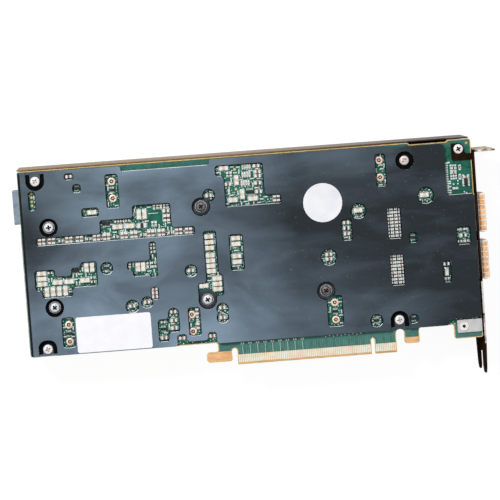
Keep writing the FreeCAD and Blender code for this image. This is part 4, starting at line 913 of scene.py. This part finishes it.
def make_fasteners():
    """Every screw that shows, by its finish, with the turn of each recess in degrees."""
    feet, wells, tabs = solids("foot_screws"), from_corner("well_screws"), solids("tab_screws")
    make_screws("foot_screws_round", "foot_screws", feet, "bright", "dull", (20, 55, 10))
    make_screws("well_screws_round", "well_screws", wells[:3], "steel", "recess", (40, 5, 30))
    make_screws("oxide_screws", "well_screws", wells[3:-1], "oxide", "recess", (35, 50, 20))
    make_screws("corner_screw", "well_screws", wells[-1:], "rosy", "dull", (40,))
    make_screws("tab_screws_round", "tab_screws", tabs, "bright", "recess", (0, 30))


def make_washers():
    """Round washers with eased edges, the last of them black."""
    ease = 0.1 * MM
    rings = from_corner("washers")
    groups = (("washers_round", "washer", rings[:-1]), ("corner_washer", "film", rings[-1:]))
    for name, finish, boxes in groups:
        bm = bmesh.new()
        for low, high in boxes:
            outer = (high.x - low.x) / 2
            add_turned(bm, middle(low, high), [
                (outer * 0.5, low.z), (outer * 0.5, high.z), (outer - ease, high.z), (outer, high.z - ease),
                (outer, low.z),
            ])
        make_piece(name, bm, finish, ["washers"])


def make_rings():
    """Plated rings with a raised solder lip, a lead's end down their hole over a plug of painted shade, and
    the flat test pads.
    """
    rings, pads, plugs, leads = bmesh.new(), bmesh.new(), bmesh.new(), bmesh.new()
    front, plug, tip = BOARD_LOW.z, BOARD_BACK - 0.7 * MM, BOARD_BACK - 0.1 * MM
    for low, high in solids("plated_rings"):
        centre, outer, top = middle(low, high), (high.y - low.y) / 2, high.z
        if outer < 1.2 * MM:
            add_disc(pads, centre, outer, outer * 0.9, low.z, top, 24)
            continue
        bore = outer * 0.55
        lead = bore * 0.45
        # Painted shade: a plug low in each hole in copper painted dark
        add_disc(plugs, centre, bore * 1.05, bore * 1.05, front, plug)
        add_turned(leads, centre, [
            (0, tip), (lead * 0.8, tip), (lead, tip - 0.1 * MM), (lead, plug), (0, plug),
        ])
        add_turned(rings, centre, [
            (bore, front), (bore, top + 0.06 * MM), (bore * 1.25, top + 0.1 * MM), (outer * 0.92, top),
            (outer, low.z), (bore * 1.1, low.z), (bore * 1.1, front),
        ])
    make_piece("plated_rings_round", rings, "copper", ["plated_rings"])
    make_piece("test_pads", pads, "flash", ["plated_rings"])
    make_piece("ring_shade_plugs", plugs, "shade")
    make_piece("ring_leads", leads, "dull")


def make_well_rings_and_shade():
    """Black rings of painted shade in the screws' wells and round the plate's feet, grey rings in the other
    wells, a copper arc of painted highlight on the lower side of each black well ring, and a black ring of
    painted shadow on each washer under its screw's head.
    """
    shade_rings, sleeves, glints = bmesh.new(), bmesh.new(), bmesh.new()
    top = BOARD_BACK + FILM_THICKNESS
    crescent = [math.radians(turn) for turn in range(250, 296, 5)]
    boxes = from_corner("washers")
    for n, (low, high) in enumerate(boxes):
        centre = middle(low, high)
        inner = (high.x - low.x) / 2 + RING_GAP
        outer = inner + WELL_RING_WIDTH
        # The first two wells and the last have a black ring of painted shade with a painted copper glint, and
        # the others a grey ring
        black = n in (0, 1, len(boxes) - 1)
        add_ring(shade_rings if black else sleeves, centre, inner, outer, BOARD_BACK, top)
        # Painted shadow: a thin black ring on the washer under the screw's head
        add_ring(shade_rings, centre, inner * 0.81, inner * 0.9, high.z, high.z + PRINT_THICKNESS)
        if black:
            add_outline(glints, arc_band(centre, outer * 0.9, outer, crescent), top, top + PRINT_THICKNESS)
    # Painted shade: black bands round the plate's feet
    inner, outer = FOOT_HALF_WIDTH + RING_GAP, FOOT_WELL
    for centre in centres("foot_screws"):
        edge = PLATE_HIGH.y if centre.y > 0 else PLATE_LOWER_EDGE
        way = math.copysign(1.0, edge - centre.y)
        low, high = sorted((centre.y, edge - way * SHADE_STOP))
        for near, far in ((-outer, -inner), (inner, outer)):
            add_box(shade_rings, (centre.x + near, low, BOARD_BACK), (centre.x + far, high, top))
        half_round = [-way * math.pi * n / 24 for n in range(25)]
        add_outline(shade_rings, arc_band(centre, inner, outer, half_round), BOARD_BACK, top)
    make_piece("well_sleeves", sleeves, "sleeve")
    make_piece("well_copper_glint", glints, "brown")
    make_piece("well_painted_shade", shade_rings, "film")


def make_board_rim():
    """Bare laminate along the board's outline, where the mask stops short of the edge."""
    bm = welded("circuit_board")
    bm.normal_update()
    back = [face for face in bm.faces if face.normal.z > 0.9]
    rim = bmesh.ops.inset_region(bm, faces=back, thickness=RIM_WIDTH, use_even_offset=True)["faces"]
    power_end = BOARD_LOW.x + 1.0 * MM
    rim = {face for face in rim if face.calc_center_median().x > power_end}
    bmesh.ops.delete(bm, geom=list(set(bm.faces) - rim), context="FACES")
    raised = bmesh.ops.extrude_face_region(bm, geom=bm.faces[:])["geom"]
    corners = [part for part in raised if isinstance(part, bmesh.types.BMVert)]
    bmesh.ops.translate(bm, vec=Vector((0, 0, PRINT_THICKNESS)), verts=corners)
    make_piece("board_rim", bm, "laminate")


# Collars round the cages

def add_finger(bm, matrix, half, length, rise):
    """Adds a sprung finger along X, bowed up to a rise between its two ends."""
    steps, sheet, foot = 8, 0.12 * MM, 0.12 * MM
    rings = []
    for n in range(steps + 1):
        height = foot + (rise - sheet - foot) * math.sin(math.pi * n / steps)
        corners = ((-half, height), (half, height), (half, height + sheet), (-half, height + sheet))
        rings.append([matrix @ Vector((n / steps * length, y, z)) for y, z in corners])
    add_loft(bm, rings)


def make_collars():
    """Rows of bowed fingers on all four sides of each cage's mouth, over a bright sleeve."""
    pitch, gap, inset = 2.6 * MM, 0.6 * MM, 0.3 * MM
    for node, cage in (("lower_collar", "lower_cage"), ("upper_collar", "upper_cage")):
        low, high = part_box(node)
        cage_low, cage_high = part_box(cage)
        size, centre = cage_high - cage_low, (low + high) / 2
        length, rise = high.x - low.x, high.z - cage_high.z
        sleeve = 0.58 * rise
        fingers, bright = bmesh.new(), bmesh.new()
        for turn in (0, 90, 180, 270):
            level = turn % 180 == 0
            span, reach = (size.y, cage_high.z - centre.z) if level else (size.z, cage_high.y - centre.y)
            side = Matrix.Translation((low.x, centre.y, centre.z))
            side = side @ Matrix.Rotation(math.radians(turn), 4, "X")
            count = round(span / pitch)
            half_finger = (span / count - gap) / 2
            for y in along_side(count, span / count):
                spot = side @ Matrix.Translation((0, y, reach))
                add_finger(fingers, spot, half_finger, length, rise)
            half = span / 2 + sleeve * level
            add_box(bright, (inset, -half, reach), (length - inset, half, reach + sleeve), side)
        make_piece(node + "_fingers", fingers, "spring", [node])
        make_piece(node + "_sleeve", bright, "sleeve_metal")


# Board print, pads and tiny parts

class Cover:
    """What lies on the board, seen from above, so that small things go only where the board shows."""

    def __init__(self):
        points, faces = [], []
        for piece in NODES.values():
            start = len(points)
            points += [vert.co for vert in piece.data.vertices]
            faces += [[start + n for n in face.vertices] for face in piece.data.polygons]
        self.tree = BVHTree.FromPolygons(points, faces)
        self.taken = []
        for centre in centres("washers") + centres("foot_screws"):
            self.taken.append((*centre, FOOT_WELL, FOOT_WELL))

    def bare(self, x, y):
        """Whether the board itself is what is seen from above at a point."""
        hit = self.tree.ray_cast(Vector((x, y, FACE + 10 * MM)), Vector((0, 0, -1)))[0]
        return hit is not None and abs(hit.z - BOARD_BACK) < 0.01 * MM

    def take(self, x, y, half_x, half_y):
        """Takes a rectangle of board if it is bare and not yet taken, and says whether it was."""
        if not self.bare(x, y):
            return False
        spots = [(x + i * half_x, y + j * half_y) for i in (-1, 0, 1) for j in (-1, 0, 1)]
        apart = all(abs(x - a) > half_x + c or abs(y - b) > half_y + d for a, b, c, d in self.taken)
        if not (apart and all(self.bare(*p) for p in spots)):
            return False
        self.taken.append((x, y, half_x, half_y))
        return True

    def keep_clear(self, u, v, half_u, half_v):
        """Keeps small things off a rectangle at a place on the board."""
        self.taken.append((*on_board(u, v).to_2d(), half_u * MM, half_v * MM))


def make_tiny_parts(cover, draw):
    """The smallest capacitors, strewn over the board inside the plate's windows."""
    bodies, ends = bmesh.new(), bmesh.new()
    length, width, height, margin = 1.1 * MM, 0.6 * MM, 0.5 * MM, 0.3 * MM
    for _ in range(TINY_TRIES):
        x = draw.uniform(PLATE_LOW.x, CORNER_START)
        y = draw.uniform(BOARD_LOW.y + 15 * MM, BAY_START)
        turned = draw.random() < 0.5
        half_x, half_y = (width / 2, length / 2) if turned else (length / 2, width / 2)
        if cover.take(x, y, half_x + margin, half_y + margin):
            low = Vector((x - half_x, y - half_y, BOARD_BACK))
            add_two_ended(bodies, ends, ends, low, low + Vector((2 * half_x, 2 * half_y, height)))
    make_piece("tiny_capacitors_bodies", bodies, "cream")
    make_piece("tiny_capacitors_ends", ends, "tin")


def make_vias(cover, draw):
    """Tinned via rings on the bare board inside the windows."""
    bm = bmesh.new()
    for _ in range(VIA_TRIES):
        x = draw.uniform(PLATE_LOW.x, PLATE_HIGH.x)
        y = draw.uniform(PLATE_LOWER_EDGE, BAY_START)
        radius = draw.choice((0.22, 0.28, 0.36)) * MM
        corner = x > CORNER_START and y > CORNER_LOWER_EDGE
        if not corner and cover.take(x, y, radius * 1.5, radius * 1.5):
            add_ring(bm, (x, y), radius * 0.3, radius, BOARD_BACK, BOARD_BACK + PRINT_THICKNESS, 10)
    make_piece("vias", bm, "tin")


def make_window_pads(cover):
    """Solder pads strewn round the rims of the plate's round windows."""
    bm = bmesh.new()
    draw = random.Random(SEED + 2)
    for x, y, radius in plate_rounds():
        for n in range(WINDOW_PADS):
            turn = 2 * math.pi * n / WINDOW_PADS + draw.uniform(-0.15, 0.15)
            away = radius * draw.uniform(0.55, 0.82)
            reach = draw.uniform(0.25, 0.5) * MM
            spot = (x + away * math.cos(turn), y + away * math.sin(turn))
            if cover.take(*spot, reach, reach):
                add_disc(bm, spot, reach * 1.1, reach, BOARD_BACK, BOARD_BACK + PAD_THICKNESS, 8)
    make_piece("window_pads", bm, "tin")


def add_pad(bm, u, v, width, height):
    """Adds a flat solder pad to the board."""
    spot = on_board(u, v)
    half = Vector((width / 2, height / 2, 0)) * MM
    add_box(bm, spot - half, spot + half + Vector((0, 0, PAD_THICKNESS)))


def add_dot(bm, u, v, radius):
    """Adds a flat round pad to the board."""
    spot = on_board(u, v)
    add_disc(bm, spot, radius * MM, radius * 0.95 * MM, spot.z, spot.z + PAD_THICKNESS, 16)


def make_legend(cover):
    """White legend lines along the chips' long sides, and one across the board's open patch."""
    bm = bmesh.new()
    add_pad(bm, 70.2, 84.0, 5.4, 0.3)
    cover.keep_clear(71.0, 82.2, 3.6, 4.4)
    line, away, thick = 0.14 * MM, 0.34 * MM, 0.02 * MM
    for node in CHIP_KINDS:
        for box in solids(node):
            matrix, length, width, _ = chip_matrix(*box)
            half = length / 2
            for y in (-width / 2 - away, width / 2 + away):
                spots = [matrix @ Vector((x, y, 0)) for x in (-half, 0, half)]
                if all(cover.bare(spot.x, spot.y) for spot in spots):
                    add_box(bm, (-half, y - line / 2, 0), (half, y + line / 2, thick), matrix)
    make_piece("legend_lines", bm, "ink")


def make_contact_tracks(cover):
    """Tracks from the edge contacts up to the plate, with the pads that some of them pass."""
    tracks, pads = bmesh.new(), bmesh.new()
    half, low, high = 0.08 * MM, CONTACTS_HIGH.y, BOARD_BACK + PRINT_THICKNESS
    for n, centre in enumerate(centres("back_contacts")):
        top = BOARD_LOW.y + (12.2 if n % 2 else 10.4) * MM
        if n % 4 != 3 and cover.bare(centre.x, top) and cover.bare(centre.x, low + 0.5 * MM):
            add_box(tracks, (centre.x - half, low, BOARD_BACK), (centre.x + half, top, high))
    first_pair, pair_pitch, pair_half, pair_row = 112.5, 4.0, 0.55, 11.2
    for n in range(9):
        u = first_pair + pair_pitch * n
        add_pad(pads, u - pair_half, pair_row, 0.6, 0.9)
        add_pad(pads, u + pair_half, pair_row, 0.6, 0.9)
        add_pad(pads, u, 8.0, 0.14, 4.8)
    first_dot, dot_pitch, dot_row, dot_step = 157.0, 2.1, 11.3, 0.4
    for n in range(10):
        add_dot(pads, first_dot + dot_pitch * n, dot_row + dot_step * (n % 2), 0.33)
    make_piece("contact_tracks", tracks, "track")
    make_piece("contact_pads", pads, "tin")


def make_corner_pads(cover):
    """Unused solder pads on the open corner of the board beside the bracket."""
    bm = bmesh.new()
    # First place, counts, steps and pad size of each grid
    grids = (
        ((227.7, 83.2), (1, 14), (0.0, 1.2), (1.2, 0.8)),
        ((229.9, 90.4), (3, 6), (1.25, 1.4), (0.95, 0.9)),
        ((236.3, 86.3), (2, 6), (2.7, 1.1), (1.0, 0.7)),
    )
    for (u, v), (columns, rows), (across, up), size in grids:
        for row in range(rows):
            for column in range(columns):
                add_pad(bm, u + across * column, v + up * row, *size)
    for v in (99.1, 89.0, 87.9, 86.2, 84.2, 83.0):
        add_pad(bm, 228.95, v, 1.2, 0.7)
    for u, v in ((233.3, 89.1), (233.2, 87.5), (230.9, 87.4), (236.4, 82.9), (237.5, 82.3)):
        add_dot(bm, u, v, 0.45)
    for u, v in ((234.7, 96.1), (234.5, 91.1)):
        for shift in (-0.8, 0.0, 0.8):
            add_dot(bm, u, v + shift, 0.75)
        cover.keep_clear(u, v, 1.5, 2.5)
    for rectangle in ((227.7, 91.0, 1.0, 8.7), (231.1, 94.0, 2.0, 4.5), (237.7, 89.0, 2.2, 3.5)):
        cover.keep_clear(*rectangle)
    make_piece("corner_pads", bm, "tin")


# Stage, lights and camera

def make_floor():
    """Pale floor that shows white to the camera and keeps the card's soft shadow."""
    finish = Finish("floor_white", roughness=0.9)
    finish.set(base_color=srgb(228, 228, 228))
    grain = finish.noise(30).spread(0.3, 0.7)
    shade = finish.mix(grain, (112, 112, 113), (116, 116, 116))
    lit = finish.add("ShaderNodeBsdfDiffuse", 0, {"Color": shade})
    glow = finish.add("ShaderNodeEmission", 0, {"Color": srgb(255, 255, 255), "Strength": FLOOR_GLOW})
    shown = finish.add("ShaderNodeAddShader", 0, {0: lit, 1: glow})
    plain = Value(finish, finish.shader.outputs[0])
    both = finish.add("ShaderNodeMixShader", 0, {0: finish.seen(), 1: plain, 2: shown})
    finish.give(finish.tree.nodes["Material Output"].inputs["Surface"], both)
    bm = bmesh.new()
    half, top, bottom = FLOOR_HALF_WIDTH, -0.2 * MM, -20 * MM
    add_box(bm, (-half, -half, bottom), (half, half, top))
    floor = add_object("floor", bm, finish.material)


def make_world():
    """White surroundings: a plain fill for the light, and white where the camera or gloss sees them."""
    world = bpy.data.worlds.new("studio")
    world.use_nodes = True
    bpy.context.scene.world = world
    nodes = Nodes(world.node_tree)
    background = nodes.tree.nodes["Background"].inputs
    nodes.give(background["Color"], srgb(255, 255, 255))
    nodes.give(background["Strength"], nodes.seen().spread(0, 1, FILL_LIGHT, 1.0))


def make_lamp(name, place, size, power):
    """Square soft box that faces the card."""
    data = bpy.data.lights.new(name, "AREA")
    data.size = size
    data.energy = power
    lamp = link_object(name, data)
    lamp.location = place
    lamp.rotation_mode = "QUATERNION"
    lamp.rotation_quaternion = (LAMP_TARGET - Vector(place)).to_track_quat("-Z", "Y")


def make_camera():
    """Camera at the photograph's place."""
    data = bpy.data.cameras.new("camera")
    data.lens = CAMERA_LENS
    data.sensor_width = SENSOR_WIDTH
    data.clip_start = 0.05
    data.clip_end = 20.0
    camera = link_object("camera", data)
    back = -CAMERA_LOOK.normalized()
    right = CAMERA_UP.cross(back).normalized()
    axes = Matrix((right, back.cross(right), back)).transposed().to_4x4()
    camera.matrix_world = Matrix.Translation(CAMERA_PLACE) @ axes
    bpy.context.scene.camera = camera


def dress_nodes():
    """Finishes of the CAD nodes that keep their own shape, and a soft edge's width where edges show."""
    looks = {
        "circuit_board": ("board", 0.1), "chip_substrate": ("board", 0.1), "back_contacts": ("gold", 0.0),
        "front_contacts": ("gold", 0.0), "backplate_pad": ("pad", 0.2), "heat_sink": ("fins", 0.12),
        "sink_posts": ("fins", 0.1), "chip_lid": ("nickel", 0.2), "thermal_paste": ("pad", 0.05),
        "memory_chips": ("black", 0.15), "power_stages": ("black", 0.1), "power_inductors": ("grey", 0.4),
        "bulk_capacitors": ("tan", 0.2), "shroud": ("shroud", 0.15), "shroud_screws": ("steel", 0.08),
        "inlet_grille": ("grille", 0.12), "slot_bracket": ("bracket", 0.14), "lower_cage": ("cage", 0.1),
        "upper_cage": ("cage", 0.1), "host_connectors": ("plastic", 0.15), "power_header": ("plastic", 0.25),
        "header_pins": ("gold", 0.1), "standoffs": ("steel", 0.1), "tab_nuts": ("steel", 0.15),
        "label": ("paper", 0.04), "round_seal": ("seal", 0.04),
    }
    for node, (finish, edge) in looks.items():
        piece = NODES[node]
        piece.material_slots[0].material = FINISHES[finish]
        if edge:
            join_corners(piece, WELD)
            soften(piece, edge * MM)


def build():
    """Dresses the card, sets the stage and the light."""
    dress_nodes()
    dress_backplate()
    make_board_rim()
    make_chips()
    make_oscillator()
    make_fasteners()
    make_washers()
    make_lining()
    make_edge_glints()
    make_rings()
    make_well_rings_and_shade()
    make_collars()
    cover = Cover()
    draw = random.Random(SEED)
    make_contact_tracks(cover)
    make_corner_pads(cover)
    make_legend(cover)
    make_window_pads(cover)
    make_tiny_parts(cover, draw)
    make_vias(cover, draw)
    make_floor()
    make_world()
    for name, lamp in LAMPS.items():
        make_lamp(name, *lamp)
    make_camera()
    bpy.context.scene.view_settings.view_transform = "Standard"


build()
